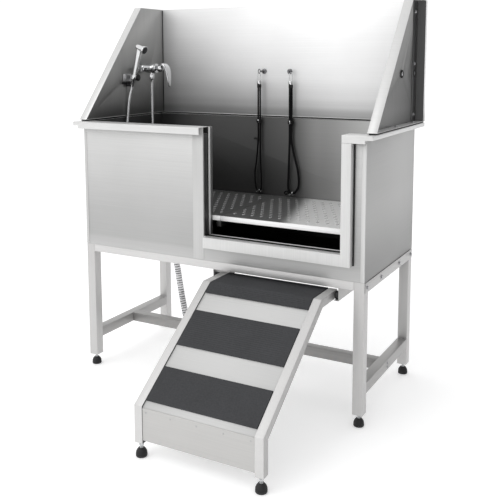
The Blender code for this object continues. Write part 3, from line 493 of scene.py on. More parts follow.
def smooth_route(points, spacing):
    """Evenly spaced points on a smooth curve through a route's own points."""
    points = [Vector(point) for point in points]
    ends = [2 * points[0] - points[1], *points, 2 * points[-1] - points[-2]]
    fine = []
    for before, start, end, after in zip(ends, ends[1:], ends[2:], ends[3:]):
        for step in range(24):
            t = step / 24
            spread = (2 * before - 5 * start + 4 * end - after) * t * t
            twist = (3 * start - before - 3 * end + after) * t * t * t
            fine.append((2 * start + (end - before) * t + spread + twist) / 2)
    fine.append(points[-1])
    return even(fine, spacing)


def even(fine, spacing):
    lengths = [0.0]
    for start, end in zip(fine, fine[1:]):
        lengths.append(lengths[-1] + (end - start).length)
    count = max(2, round(lengths[-1] / spacing))
    spaced, index = [], 0
    for step in range(count + 1):
        target = lengths[-1] * step / count
        while index < len(lengths) - 2 and lengths[index + 1] < target:
            index += 1
        share = (target - lengths[index]) / (lengths[index + 1] - lengths[index])
        spaced.append(fine[index].lerp(fine[index + 1], share))
    return spaced


def length_of(points):
    return sum((b - a).length for a, b in zip(points, points[1:]))


# ---- camera, light and floor


CAMERA_PLACE = (1.4575, -2.4095, 1.2816)
CAMERA_TURNS = (28.51, -6.95, -0.08)
CAMERA_SHIFT = -0.20
FOCAL_PIXELS, IMAGE_WIDTH, SENSOR_WIDTH = 759.8, 500.0, 36.0


def make_camera():
    """The photograph's view: yaw, pitch and roll, place and focal length fitted to the frame's own corners."""
    yaw, pitch, roll = (math.radians(degrees) for degrees in CAMERA_TURNS)
    forward = Vector((-math.sin(yaw) * math.cos(pitch), math.cos(yaw) * math.cos(pitch), math.sin(pitch)))
    level = Vector((math.cos(yaw), math.sin(yaw), 0.0))
    above = level.cross(forward)
    right = level * math.cos(roll) + above * math.sin(roll)
    up = above * math.cos(roll) - level * math.sin(roll)
    camera = bpy.data.objects.new("camera", bpy.data.cameras.new("camera"))
    COLLECTION.objects.link(camera)
    turn = Matrix((right, up, -forward)).transposed().to_4x4()
    camera.matrix_world = Matrix.Translation(CAMERA_PLACE) @ turn
    camera.data.sensor_width = SENSOR_WIDTH
    camera.data.lens = SENSOR_WIDTH * FOCAL_PIXELS / IMAGE_WIDTH
    camera.data.shift_y = CAMERA_SHIFT
    SCENE.camera = camera


def soft_light(name, at, towards, size, power):
    light = bpy.data.lights.new(name, "AREA")
    light.shape = "DISK"
    light.size = size
    light.energy = power
    lamp = bpy.data.objects.new(name, light)
    COLLECTION.objects.link(lamp)
    turn = (Vector(at) - Vector(towards)).to_track_quat("Z", "Y").to_matrix().to_4x4()
    lamp.matrix_world = Matrix.Translation(at) @ turn


def make_studio():
    """A white studio whose far +X side is darker, a pale floor and two soft lamps."""
    world = bpy.data.worlds.new("studio")
    SCENE.world = world
    world.use_nodes = True
    tree = world.node_tree
    place = tree.nodes.new("ShaderNodeTexCoord")
    split = tree.nodes.new("ShaderNodeSeparateXYZ")
    tree.links.new(place.outputs["Generated"], split.inputs[0])
    ramp = tree.nodes.new("ShaderNodeValToRGB")
    tree.links.new(split.outputs[0], ramp.inputs["Fac"])
    elements = ramp.color_ramp.elements
    elements[0].position, elements[0].color = 0.05, (1.0, 1.0, 1.0, 1.0)
    elements[1].position, elements[1].color = 0.60, (0.40, 0.40, 0.41, 1.0)
    background = tree.nodes["Background"]
    tree.links.new(ramp.outputs["Color"], background.inputs["Color"])
    background.inputs["Strength"].default_value = 1.08
    floor_shader = Shader("studio floor", 0.85)
    speck = floor_shader.noise((1.0, 1.0, 1.0), 1.0, 2.0, 0.5)
    floor_colour = floor_shader.shade((0.93, 0.93, 0.93), floor_shader.between(speck, 0.985, 1.0))
    floor_shader.join(floor_colour, floor_shader.surface.inputs["Base Color"])
    floor_shader.surface.inputs["Emission Color"].default_value = (1.0, 1.0, 1.0, 1.0)
    floor_shader.surface.inputs["Emission Strength"].default_value = 0.30
    bm = bmesh.new()
    bmesh.ops.create_grid(bm, x_segments=2, y_segments=2, size=80.0)
    floor = mesh_object("studio_floor", bm, floor_shader.material)
    floor.location.z = -0.0005
    soft_light("key", (-1.6, -3.4, 3.8), (0, 0, 0.7), 3.4, 42.0)
    soft_light("fill", (2.8, -1.8, 2.6), (0, 0, 0.6), 2.6, 6.0)
    SCENE.view_settings.view_transform = "Standard"
    SCENE.view_settings.look = "None"


make_camera()
make_studio()


# ---- cords

FAUCET_X, FAUCET_Y, FAUCET_Z = -0.562, FRONT + 0.432, 1.234
# the shower hose's straight fall starts here, below the collar
HOSE_OUTLET = (FAUCET_X + 0.009, FAUCET_Y, 1.1957)
GRIP_BOTTOM = Vector((-0.574, FRONT + 0.322, 1.176))
GRIP_LEAN = math.radians(15.3)
GRIP_AXIS = Vector((math.sin(GRIP_LEAN), 0, math.cos(GRIP_LEAN)))
GRIP_SIDE = Vector((math.cos(GRIP_LEAN), 0, -math.sin(GRIP_LEAN)))
DRAIN = Vector((-0.420, FRONT + 0.400, BODY_BOTTOM))


def grip_point(height, outward=0.0):
    return GRIP_BOTTOM + GRIP_AXIS * height + GRIP_SIDE * outward


def laid(points, height):
    return [Vector((point.x, point.y, max(point.z, height))) for point in points]


def shower_hose():
    """The metal hose, wound from interlocked strip, from the faucet to the hand shower."""
    start = Vector(HOSE_OUTLET)
    floor = GRATE_TOP + 0.0078
    route = [
        start,
        start - Vector((0, 0, 0.100)),
        (-0.5520, FRONT + 0.432, 0.950),
        (-0.5470, FRONT + 0.431, 0.810),
        (-0.5150, FRONT + 0.424, 0.722),
        (-0.4500, FRONT + 0.400, floor),
        (-0.3850, FRONT + 0.345, floor),
        (-0.3640, FRONT + 0.272, floor),
        (-0.3950, FRONT + 0.200, floor),
        (-0.4650, FRONT + 0.168, floor),
        (-0.5360, FRONT + 0.190, 0.706),
        (-0.5800, FRONT + 0.235, 0.764),
        (-0.5905, FRONT + 0.272, 0.870),
        (-0.5910, FRONT + 0.298, 1.000),
        (-0.5880, FRONT + 0.312, 1.100),
        grip_point(-0.030),
        grip_point(-0.0003),
    ]
    path = laid(smooth_route(route, 0.0016), floor)
    winding = tube(path, lambda run: 0.0066 + 0.0004 * math.cos(run * math.tau / 0.0048), 14)
    hose = mesh_object("shower_hose.look", winding, CHROME)
    points = laid(smooth_route(route, 0.010), floor)
    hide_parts("shower_hose")
    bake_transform(hose)


def drain_hose():
    """The corrugated waste hose, hanging from the tail pipe and lying on the floor behind the ramp."""
    end = Vector((DRAIN.x, DRAIN.y, 0.4547))
    route = [
        end,
        end - Vector((0, 0, 0.030)),
        (DRAIN.x + 0.010, DRAIN.y, 0.370),
        (DRAIN.x + 0.026, DRAIN.y + 0.002, 0.270),
        (DRAIN.x + 0.040, DRAIN.y + 0.004, 0.190),
        (DRAIN.x + 0.058, DRAIN.y + 0.006, 0.120),
        (DRAIN.x + 0.110, DRAIN.y + 0.010, 0.046),
        (DRAIN.x + 0.190, DRAIN.y + 0.010, 0.0165),
        (DRAIN.x + 0.290, DRAIN.y - 0.002, 0.0160),
        (DRAIN.x + 0.400, DRAIN.y - 0.006, 0.0160),
        (DRAIN.x + 0.520, DRAIN.y + 0.014, 0.0160),
    ]
    path = laid(smooth_route(route, 0.0014), 0.0155)
    total = length_of(path)

    def ridge(run):
        if run < 0.026 or run > total - 0.026:
            return 0.0150
        return 0.0136 + 0.0014 * math.cos(run * math.tau / 0.0105)

    rings = tube(path, ridge, 20)
    # the narrow grooves take the painted shade
    for face in rings.faces:
        near = min(range(len(path)), key=lambda k: (path[k] - face.calc_center_median()).length_squared)
        face.material_index = 1 if ridge(total * near / (len(path) - 1)) < 0.0131 else 0
    hose = mesh_object("drain_hose.look", rings, HOSE_PLASTIC, HOSE_GROOVE_PAINTED_SHADE)
    settle(hose, "tub", ["drain_hose"])
    points = laid(smooth_route(route, 0.012), 0.0155)


shower_hose()
drain_hose()


# ---- frame, feet and bolts


def hexagon(radius, height, bevel, place):
    """A hex prism with broken edges."""
    bm = bmesh.new()
    bmesh.ops.create_cone(bm, cap_ends=True, segments=6, radius1=radius, radius2=radius, depth=height)
    bmesh.ops.bevel(bm, geom=list(bm.edges), offset=bevel, segments=2, profile=0.5, affect="EDGES")
    bm.transform(place)
    return bm


def hex_bolt(at, normal, radius=0.0062, height=0.0042):
    """A bolt head on its washer, sunk a little into what it holds."""
    rim, wide = radius * 1.45, radius * 1.55
    washer = [(0.0, 0.0012), (rim, 0.0012), (wide, 0.0006), (wide, -0.0004), (0.0, -0.0004)]
    head = hexagon(radius, height, 0.0006, Matrix.Translation((0, 0, 0.0010 + height / 2)))
    both = merged([lathe(washer, steps=20), head])
    both.transform(aim(at, normal))
    return both


def button(at, normal, radius=0.0045):
    """A low rivet head."""
    crown = [(radius * out, radius * rise) for out, rise in ((0.0, 0.5), (0.55, 0.42), (0.9, 0.18))]
    return lathe([*crown, (radius, -0.0003), (0.0, -0.0003)], aim(at, normal), 16)


def levelling_foot(node):
    """A rubber cup foot, its hex jam nut and its threaded stud."""
    lo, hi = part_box(node)
    x, y = (lo.x + hi.x) / 2, (lo.y + hi.y) / 2
    body = body_of(node)
    place = Matrix.Translation((x, y, 0))
    cup = [(0.0, 0.0300), (0.0070, 0.0298), (0.0100, 0.0290), (0.0118, 0.0262), (0.0150, 0.0228), (0.0178, 0.0172)]
    cup += [(0.0187, 0.0130), (0.0176, 0.0112), (0.0176, 0.0100), (0.0190, 0.0090), (0.0190, 0.0030)]
    cup += [(0.0180, 0.0008), (0.0160, 0.0), (0.0, 0.0)]
    show(node + ".cup", lathe(cup, place, 40), RUBBER, body, node)
    stud = [(0.0, 0.0775), (0.0030, 0.0775)]
    for index in range(36):
        stud += [(0.0040, 0.0768 - index * 0.00125), (0.0033, 0.0762 - index * 0.00125)]
    stud += [(0.0060, 0.0312), (0.0066, 0.0292), (0.0, 0.0292)]
    nut = hexagon(0.0080, 0.0070, 0.0007, place @ Matrix.Translation((0, 0, 0.0398)))
    show(node + ".stud", merged([lathe(stud, place, 18), nut]), ZINC, body)


def build_frame():
    for row in ("front", "rear"):
        for side in ("left", "right"):
            finished(f"leg_{row}_{side}", TUBE_STEEL, width=0.0022, segments=3)
            levelling_foot(f"foot_{row}_{side}")
        finished(f"rail_{row}", RAIL_STEEL, width=0.0010)
    for side in ("left", "right"):
        finished(f"side_rail_{side}", CROSS_STEEL, width=0.0006)
        finished(f"stretcher_{side}", STRETCHER_PAINTED_SHADE, width=0.0010)
        levelling_foot(f"ramp_foot_{side}")
    finished("stretcher_long", LONG_STRETCHER_PAINTED_SHADE, width=0.0010)
    heads, welds = [], []
    for sign in (-1, 1):
        face = sign * (BODY_X + 0.0028)
        for y in (FRONT + 0.052, FRONT + 0.200, FRONT + 0.408, FRONT + 0.556):
            heads.append(hex_bolt((face, y, 0.501), (sign, 0, 0)))
        for z in (0.126, 0.142):
            heads.append(hex_bolt((sign * BODY_X, FRONT + 0.300, z), (sign, 0, 0), 0.0042, 0.003))
        for y in (FRONT + 0.0695, BACK - 0.0715):
            for z in (0.1155, 0.1528):
                near = sign * (BODY_X - 0.036)
                far = sign * (BODY_X - 0.002)
                welds.append(tube(even([Vector((near, y, z)), Vector((far, y, z))], 0.003), 0.0014, 8))
    show("frame_bolts", merged(heads), HARDWARE)
    show("stretcher_welds", merged(welds), HARDWARE)


build_frame()


# ---- tub


def inside_face(face):
    """0 outside the tub, 1 on its inner walls, 2 on its floor, 3 on its outer sides."""
    centre = face.calc_center_median()
    inset_x = BODY_X - abs(centre.x)
    inset_y = min(centre.y - BODY_FRONT, BODY_BACK - centre.y)
    if centre.z < BODY_BOTTOM + 0.0008:
        return 0
    if min(inset_x, inset_y) > 0.0009:
        return 2 if centre.z < 0.67 and (face.normal.z > 0.5 or min(inset_x, inset_y) > 0.03) else 1
    return 3 if abs(face.normal.x) > 0.7 and inset_x < 0.0008 else 0


def rim_face(face):
    """0 on the rim's top and outer edges, 1 where it faces into the tub."""
    centre = face.calc_center_median()
    within = abs(centre.x) < BODY_X - 0.0003 and LINER_Y < centre.y < BODY_BACK + 0.0105
    return 1 if within and face.normal.z < 0.5 else 0


def liner_face(face):
    """0 on the front wall's two sides, 1 on its ends and its top."""
    return 1 if abs(face.normal.x) > 0.9 or face.normal.z > 0.9 else 0


def hem(start, end, radius):
    """A straight rolled edge or weld bead."""
    start, end = Vector(start), Vector(end)
    return tube(even([start, end], 0.02), radius, 10)


def build_tub():
    # painted shade: the basin's inner walls, floor and outer sides, the front wall's two sides and the rim's faces into
    # the tub take the darkened steels
    finished("basin", SHELL, INSIDE_SHADED_STEEL, FLOOR_PAINTED_SHADE, SHELL_SIDE_SHADED, width=0.0005, pick=inside_face, flat=False)
    finished("front_liner", INSIDE_SHADED_STEEL, RIM, width=0.0004, flat=False, pick=liner_face)
    finished("rim", RIM, INSIDE_SHADED_STEEL, width=0.0012, segments=3, flat=False, pick=rim_face)
    finished("door_frame", FRAME_FACE, width=0.0010, segments=3, flat=False)
    # the door's end face, inside its pocket, takes the painted shade
    finished("door", FRAME_FACE, BRACKET_PAINTED_SHADE, width=0.0008, pick=lambda f: 1 if f.normal.x > 0.7 else 0)
    # the black rubber gasket under the splashes, its black also standing in for the shadow in the gap there
    finished("splash_gasket", SEAL, width=0.0010)
    edges = []
    for y in (BODY_FRONT + 0.0008, LINER_Y - 0.0008):
        edges.append(hem((OPEN_LEFT, y, SILL_Z), (OPEN_RIGHT, y, SILL_Z), 0.0018))
    for x in (OPEN_LEFT + 0.0004, OPEN_RIGHT - 0.0004):
        edges.append(hem((x, LINER_Y - 0.0008, SILL_Z + 0.0008), (x, LINER_Y - 0.0008, 1.022), 0.0017))
    show("doorway_hems", merged(edges), RIM)
    # the pocket's open edge, in near-white steel as a painted highlight
    low, high = (OPEN_LEFT - 0.012, LINER_Y + 0.0003, POCKET_LOW), (OPEN_LEFT + 0.0012, LINER_Y + 0.0095, POCKET_HIGH)
    light = block(low, high, 0.0005)
    show("pocket_edge_highlight", light, GRATE_EDGE)
    # painted shade: a dark post standing in the shadowed channel of the door's pocket
    low, high = (OPEN_LEFT - 0.014, LINER_Y + 0.0120, POCKET_LOW), (OPEN_LEFT - 0.0004, LINER_Y + 0.0290, POCKET_HIGH)
    dark = block(low, high, 0.0005)
    show("pocket_shade_post", dark, POST_PAINTED_SHADE)
    face, back = BODY_FRONT - 0.0009, BODY_FRONT + 0.0002
    low, high = BODY_BOTTOM + 0.0015, RIM_TOP - 0.0272
    borders = [
        block((OPEN_LEFT - 0.047, face, low), (OPEN_LEFT - 0.0006, back, high), 0.0003),
        block((-BODY_X + 0.0005, face, low), (-BODY_X + 0.0125, back, high), 0.0003),
        block((-BODY_X + 0.0125, face, high - 0.016), (OPEN_LEFT - 0.047, back, high), 0.0003),
        block((BODY_X - 0.0150, face, low), (BODY_X - 0.0005, back, high), 0.0003),
    ]
    show("panel_borders", merged(borders), FRAME_FACE)
    # painted shadow: a black strip beside the right jamb, for the shaded groove there
    near = (FRAME_HIGH.x + 0.0002, BODY_FRONT - 0.0060, 0.5765)
    far = (FRAME_HIGH.x + 0.0046, BODY_FRONT + 0.0003, high)
    show("door_frame_shadow_strip", block(near, far, 0.0006), SEAL)
    seams = []
    for sign in (-1, 1):
        for y in (BODY_FRONT + 0.0007, BODY_BACK - 0.0007):
            x = sign * (BODY_X - 0.0007)
            seams.append(hem((x, y, BODY_BOTTOM + 0.002), (x, y, RIM_TOP - 0.003), 0.0012))
    show("corner_seams", merged(seams), SHELL)


build_tub()


# a grate's slots: how far they reach across and along, against the hole's radius, and the spread of foot and lip
SLOT = (0.85, 2.1)
FOOT_SPREAD, LIP_SPREAD = 1.42, 1.12


def punched_plate(x0, x1, y0, y1, z, wall, pitch, hole, rise, sides=12):
    """A flat plate with staggered rows of short raised slots, as punched slip-resistant sheet."""
    bm = bmesh.new()
    columns = max(2, round((x1 - x0) / pitch[0]))
    rows = max(2, round((y1 - y0) / pitch[1]))
    dx, dy = (x1 - x0) / columns, (y1 - y0) / rows
    grid = {}

    def corner(column, row, level):
        key = (column, row, level)
        if key not in grid:
            grid[key] = bm.verts.new((x0 + column * dx, y0 + row * dy, z - (0 if level else wall)))
        return grid[key]

    def ring(centre, radius, height):
        turned = [math.tau * (index + 0.5) / sides for index in range(sides)]
        across, along = radius * SLOT[0], radius * SLOT[1]
        return [bm.verts.new((centre.x + across * math.cos(a), centre.y + along * math.sin(a), height)) for a in turned]

    for column in range(columns):
        for row in range(rows):
            centre = Vector((x0 + (column + 0.5) * dx, y0 + (row + 0.5) * dy, 0))
            border = [(column + 1, row + 1), (column, row + 1), (column, row), (column + 1, row)]
            top = [corner(*place, True) for place in border]
            low = [corner(*place, False) for place in border]
            edge = column in (0, columns - 1) or row in (0, rows - 1)
            if (column + row) % 2 or edge:
                bm.faces.new(top)
                bm.faces.new(list(reversed(low)))
                continue
            foot = ring(centre, hole * FOOT_SPREAD, z)
            lip = ring(centre, hole * LIP_SPREAD, z + rise)
            bore = ring(centre, hole, z + rise * 0.7)
            under = ring(centre, hole, z - wall)
            # the foot and lip walls take the second material, the painted glint
            for upper, lower, painted_glint in ((foot, lip, 1), (lip, bore, 1), (bore, under, 0)):
                for index in range(sides):
                    after = (index + 1) % sides
                    wall_face = bm.faces.new((upper[index], upper[after], lower[after], lower[index]))
                    wall_face.material_index = painted_glint
            quarter = sides // 4
            for corner_index in range(4):
                first = corner_index * quarter
                for outer, inner, flip in ((top, foot, False), (low, under, True)):
                    arc = [inner[(first + step) % sides] for step in range(quarter)]
                    nxt = inner[(first + quarter) % sides]
                    fan = [outer[corner_index], *reversed(arc)] if not flip else [outer[corner_index], *arc]
                    bm.faces.new(fan)
                    link = [outer[corner_index], arc[-1], nxt, outer[(corner_index + 1) % 4]]
                    bm.faces.new(list(reversed(link)) if not flip else link)
    borders = [((column, row), (column + 1, row)) for column in range(columns) for row in (0, rows)]
    borders += [((column, row), (column, row + 1)) for row in range(rows) for column in (0, columns)]
    for first, second in borders:
        bm.faces.new((corner(*first, True), corner(*second, True), corner(*second, False), corner(*first, False)))
    bmesh.ops.recalc_face_normals(bm, faces=bm.faces)
    return bm


def build_grates():
    for side in ("left", "right"):
        lo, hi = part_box(f"grate_{side}")
        wall, rise = 0.0015, 0.0014
        plate = punched_plate(lo.x, hi.x, lo.y, hi.y, hi.z - rise, wall, (0.0190, 0.0400), 0.0040, rise)
        top = mesh_object(f"grate_{side}.top", plate, GRATE, GRATE_LIP_PAINTED_GLINT, smooth=50.0)
        settle(top, "tub", [f"grate_{side}"])
        low, high = lo.z, hi.z - rise - wall - 0.0002
        flanges = [
            block((lo.x, lo.y, low), (hi.x, lo.y + wall, high)),
            block((lo.x, hi.y - wall, low), (hi.x, hi.y, high)),
            block((lo.x, lo.y + wall, low), (lo.x + wall, hi.y - wall, high)),
            block((hi.x - wall, lo.y + wall, low), (hi.x, hi.y - wall, high)),
        ]
        for share in (0.25, 0.5, 0.75):
            x = lo.x + (hi.x - lo.x) * share
            flanges.append(block((x - 0.001, lo.y + wall, low + 0.004), (x + 0.001, hi.y - wall, high)))
        show(f"grate_{side}.flanges", merged(flanges), GRATE_EDGE)


build_grates()


# ---- drain, splash, faucet


def back_face(face):
    """1 on the front of the back splash's end strips, which lie in shade."""
    return 1 if face.normal.y < -0.7 and abs(face.calc_center_median().x) > 0.602 else 0


def side_face(face):
    """0 on the inner faces of a side splash, 1 on its folds and edges, 2 on the front of its rear fold, which takes
    painted shade.
    """
    centre = face.calc_center_median()
    if face.normal.y < -0.7 and centre.y > 0.45:
        return 2
    return 0 if abs(face.normal.x) > 0.7 and abs(centre.x) < 0.603 else 1


def build_splash():
    finished("splash_back", SPLASH, BRACKET_PAINTED_SHADE, width=0.0008, pick=back_face)
    y = SPLASH_FACE - 0.0004
    beads = [hem((-SHEET_INNER, y, BEAD_Z), (SHEET_INNER, y, BEAD_Z), 0.0012)]
    for sign in (-1, 1):
        x = sign * (SHEET_INNER + 0.0002)
        beads.append(hem((x, FRONT + 0.045, BEAD_Z), (x, SPLASH_FACE, BEAD_Z), 0.0011))
    show("splash_beads", merged(beads), RIM)
    for side in ("left", "right"):
        finished(f"splash_{side}", SIDE_SPLASH, RIM, BRACKET_PAINTED_SHADE, width=0.0008, pick=side_face)
    shaded_brackets, heads = [], []
    for sign in (-1, 1):
        near, far = sorted((sign * 0.6019, sign * SHEET_OUTER))
        # near-black strips on the side splashes' outer faces at the rear corners: painted shade
        shaded_brackets.append(block((near, FRONT + 0.532, 1.0350), (far, FRONT + 0.5868, SPLASH_TOP)))
        for z in (1.060, 1.257, 1.455):
            heads.append(hex_bolt((sign * 0.6036, FRONT + 0.558, z), (sign, 0, 0), 0.0048, 0.0035))
        for y in (FRONT + 0.090, FRONT + 0.300, FRONT + 0.510):
            heads.append(hex_bolt((sign * 0.618, y, FLANGE_Z), (0, 0, 1), 0.0048, 0.0035))
    for x in (-0.52, -0.26, 0.0, 0.26, 0.52):
        heads.append(hex_bolt((x, BACK - 0.0105, FLANGE_Z), (0, 0, 1), 0.0048, 0.0035))
    show("corner_brackets_shaded", merged(shaded_brackets), BRACKET_PAINTED_SHADE)
    show("splash_bolts", merged(heads), HARDWARE)
    for index in (1, 2):
        lo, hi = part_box(f"hole_plug_{index}")
        radius, middle = (hi.y - lo.y) / 2, (lo + hi) / 2
        place = aim((0, middle.y, middle.z), (1, 0, 0))
        x = hi.x
        outer = [(0.0, x - 0.0018), (0.52, x - 0.0018), (0.60, x - 0.0004), (0.80, x), (0.97, x - 0.0008)]
        outer += [(1.0, SHEET_OUTER), (0.62, 0.6026), (0.62, 0.5994), (0.98, SHEET_INNER), (0.90, lo.x), (0.0, lo.x)]
        centre = [(0.0, x - 0.0010), (0.40, x - 0.0012), (0.50, x - 0.0020), (0.0, x - 0.0020)]
        outer, centre = ([(radius * share, at) for share, at in profile] for profile in (outer, centre))
        plug = f"hole_plug_{index}"
        show(plug + ".look", lathe(outer, place, 32), SEAL, node=plug)
        show(f"plug_centre_{index}", lathe(centre, place, 24), ZINC)
    finished("drain_fitting", CHROME, width=0.0004)
    finished("drain_strainer", CHROME, width=0.0)


# the spray face's rings of nozzles, as (radius, count), and one nozzle's profile
NOZZLE_RINGS = ((0.0035, 5), (0.0075, 9), (0.0115, 14))
NOZZLE = [(0.0, 0.0012), (0.0007, 0.0010), (0.0011, 0.0), (0.0, 0.0)]


def hand_shower():
    """The thick grip, its short barrel head and the spray face with its nozzles."""
    grip = [(0.0, 0.1560), (0.0085, 0.1552), (0.0122, 0.1515), (0.0130, 0.1440), (0.0124, 0.1150), (0.0116, 0.0750)]
    grip += [(0.0106, 0.0320), (0.0110, 0.0290), (0.0110, 0.0240), (0.0104, 0.0215), (0.0094, 0.0020)]
    grip += [(0.0086, 0.0), (0.0, 0.0)]
    tilt = math.radians(20)
    facing = Vector((math.cos(tilt), -0.10, -math.sin(tilt))).normalized()
    base = grip_point(0.1520) - facing * 0.0170
    barrel = [(0.0, 0.0480), (0.0148, 0.0480), (0.0150, 0.0490), (0.0172, 0.0480), (0.0176, 0.0400), (0.0150, 0.0345)]
    barrel += [(0.0142, 0.0300), (0.0140, 0.0080), (0.0118, 0.0022), (0.0060, 0.0), (0.0, 0.0)]
    shape = merged([lathe(grip, aim(grip_point(0), GRIP_AXIS), 36), lathe(barrel, aim(base, facing), 36)])
    show("hand_shower.look", shape, CHROME, "hand_shower", "hand_shower")
    centre = base + facing * 0.0482
    disc = [(0.0, 0.0014), (0.0132, 0.0010), (0.0146, 0.0), (0.0146, -0.0012), (0.0, -0.0012)]
    face = [lathe(disc, aim(centre, facing), 32)]
    side = Vector((0, 1, 0))
    up = facing.cross(side).normalized()
    for ring, count in NOZZLE_RINGS:
        for index in range(count):
            angle = math.tau * index / count
            at = centre + (side * math.cos(angle) + up * math.sin(angle)) * ring + facing * 0.0010
            face.append(lathe(NOZZLE, aim(at, facing), 8))
    show("spray_face", merged(face), SPRAY, "hand_shower")


# the lever from its root to its tip: x, z, half width and half thickness
LEVER = [
    (-0.5125, 1.2400, 0.0120, 0.0060), (-0.5000, 1.2500, 0.0170, 0.0066), (-0.4840, 1.2505, 0.0198, 0.0064),
    (-0.4715, 1.2400, 0.0200, 0.0060), (-0.4640, 1.2200, 0.0186, 0.0054), (-0.4600, 1.1950, 0.0156, 0.0048),
    (-0.4582, 1.1740, 0.0116, 0.0042), (-0.4578, 1.1580, 0.0066, 0.0036), (-0.4580, 1.1530, 0.0020, 0.0018),
]


def lever():
    """The faucet's leaf-shaped lever on its ball."""
    line = smooth_route([(x, FAUCET_Y, z) for x, z, _, _ in LEVER], 0.0035)
    run = [0.0]
    for first, second in zip(LEVER, LEVER[1:]):
        run.append(run[-1] + math.hypot(second[0] - first[0], second[1] - first[1]))
    sections = []
    for index, (point, along) in enumerate(zip(line, tangents(line))):
        at = run[-1] * index / (len(line) - 1)
        step = min(max(0, next((k for k, r in enumerate(run) if r > at), len(run) - 1) - 1), len(LEVER) - 2)
        share = min(1.0, (at - run[step]) / (run[step + 1] - run[step]))
        wide, thick = (LEVER[step][k] * (1 - share) + LEVER[step + 1][k] * share for k in (2, 3))
        over = along.cross(Vector((0, 1, 0)))
        sections.append((point, Vector((0, wide, 0)), over * thick))
    ball = [(0.0165 * math.sin(math.pi * k / 16), 0.0165 * math.cos(math.pi * k / 16)) for k in range(17)]
    ball = lathe(ball, aim((-0.507, FAUCET_Y, FAUCET_Z), (1, 0, 0)), 32)
    shape = merged([loft(sections), ball])
    show("faucet_lever.look", shape, CHROME, "faucet_lever", "faucet_lever")


def shower_details():
    """The hose nuts, the holder's cap, plate and hook, the faucet's covers and the seal in the left rear corner."""
    ferrule = [(0.0074, 0.0000), (0.0086, -0.0006), (0.0086, -0.0016), (0.0080, -0.0030), (0.0076, -0.0180)]
    ferrule += [(0.0073, -0.0200), (0.0068, -0.0200), (0.0068, 0.0000)]
    grip = lathe(ferrule, aim(grip_point(-0.0006), GRIP_AXIS), 24)
    show("hose_nut_grip", grip, CHROME, "hand_shower")
    outlet = [(0.0110, 0.0), (0.0114, -0.0010), (0.0114, -0.0070), (0.0098, -0.0090), (0.0084, -0.0200)]
    outlet += [(0.0078, -0.0225), (0.0068, -0.0225), (0.0068, 0.0)]
    nut = lathe(outlet, Matrix.Translation(HOSE_OUTLET), 24)
    show("hose_nut_outlet", nut, CHROME)
    ring_side = grip_point(0.022)
    cap = [(0.0, 0.0044), (0.0110, 0.0040), (0.0144, 0.0022), (0.0150, -0.0002), (0.0144, -0.0022), (0.0, -0.0022)]
    cap_at = Vector((ring_side.x + 0.0165, FRONT + 0.3300, ring_side.z - 0.002))
    show("holder_cap", lathe(cap, aim(cap_at, (1, 0, 0)), 32), HOLDER_BLACK)
    y, z = ring_side.y, ring_side.z
    plate = block((-0.5985, y - 0.040, z - 0.018), (-0.5950, y + 0.060, z + 0.014), 0.0010)
    show("holder_plate", plate, PLATE_ZINC)
    hook = [block((-0.5985, y - 0.044, z - 0.030), (-0.5900, y + 0.008, z - 0.020), 0.0016)]
    hook.append(block((-0.5920, y - 0.024, z - 0.040), (-0.5860, y - 0.002, z - 0.023), 0.0016))
    show("holder_hook", merged(hook), HOLDER_BLACK)
    seam = block((-0.6000, BACK - 0.0230, 1.0330), (-0.5980, BACK - 0.0200, SPLASH_TOP), 0.0005)
    show("corner_seam", seam, SEAL)
    cover = [(0.0, 0.0070), (0.0120, 0.0070), (0.0168, 0.0040), (0.0174, 0.0008), (0.0, 0.0008)]
    cap = [(0.0, 0.0030), (0.0090, 0.0024), (0.0132, 0.0004), (0.0138, -0.0014), (0.0, -0.0014)]
    covers, caps = [], []
    for sign in (-1, 1):
        covers.append(lathe(cover, aim((-SHEET_INNER, FAUCET_Y + sign * 0.051, FAUCET_Z), (1, 0, 0)), 28))
        caps.append(lathe(cap, aim((FAUCET_X, FAUCET_Y + sign * 0.0640, FAUCET_Z), (0, sign, 0)), 28))
    show("inlet_covers", merged(covers), CHROME)
    show("bar_end_caps", merged(caps), CHROME)


def build_water():
    for node in ("faucet_body", "faucet_collar", "shower_holder"):
        finished(node, CHROME, width=0.0005)
    hand_shower()
    lever()
    shower_details()


build_splash()
build_water()


# ---- restraint loops

# the plane of the loops in front of the splash, their places along it, and how each one hangs: (shift, z) points
LOOP_Y = BACK - 0.0205 - 0.026
LOOPS = {"left": -0.080, "right": 0.071}
LOOP_SHAPES = {
    "left": ((-0.0130, 0.835), (-0.0215, 0.775), (-0.0155, 0.714), (0.0, 0.6995), (0.0105, 0.716)),
    "right": ((-0.0065, 0.830), (-0.0085, 0.775), (-0.0090, 0.720), (0.0090, 0.6995), (0.0370, 0.728)),
}
CURLS = {"left": 0.0020, "right": -0.0190}
LOOP_RETURNS = {"left": ((0.0085, 0.790), (0.0055, 0.865)), "right": ((0.0370, 0.790), (0.0170, 0.868))}


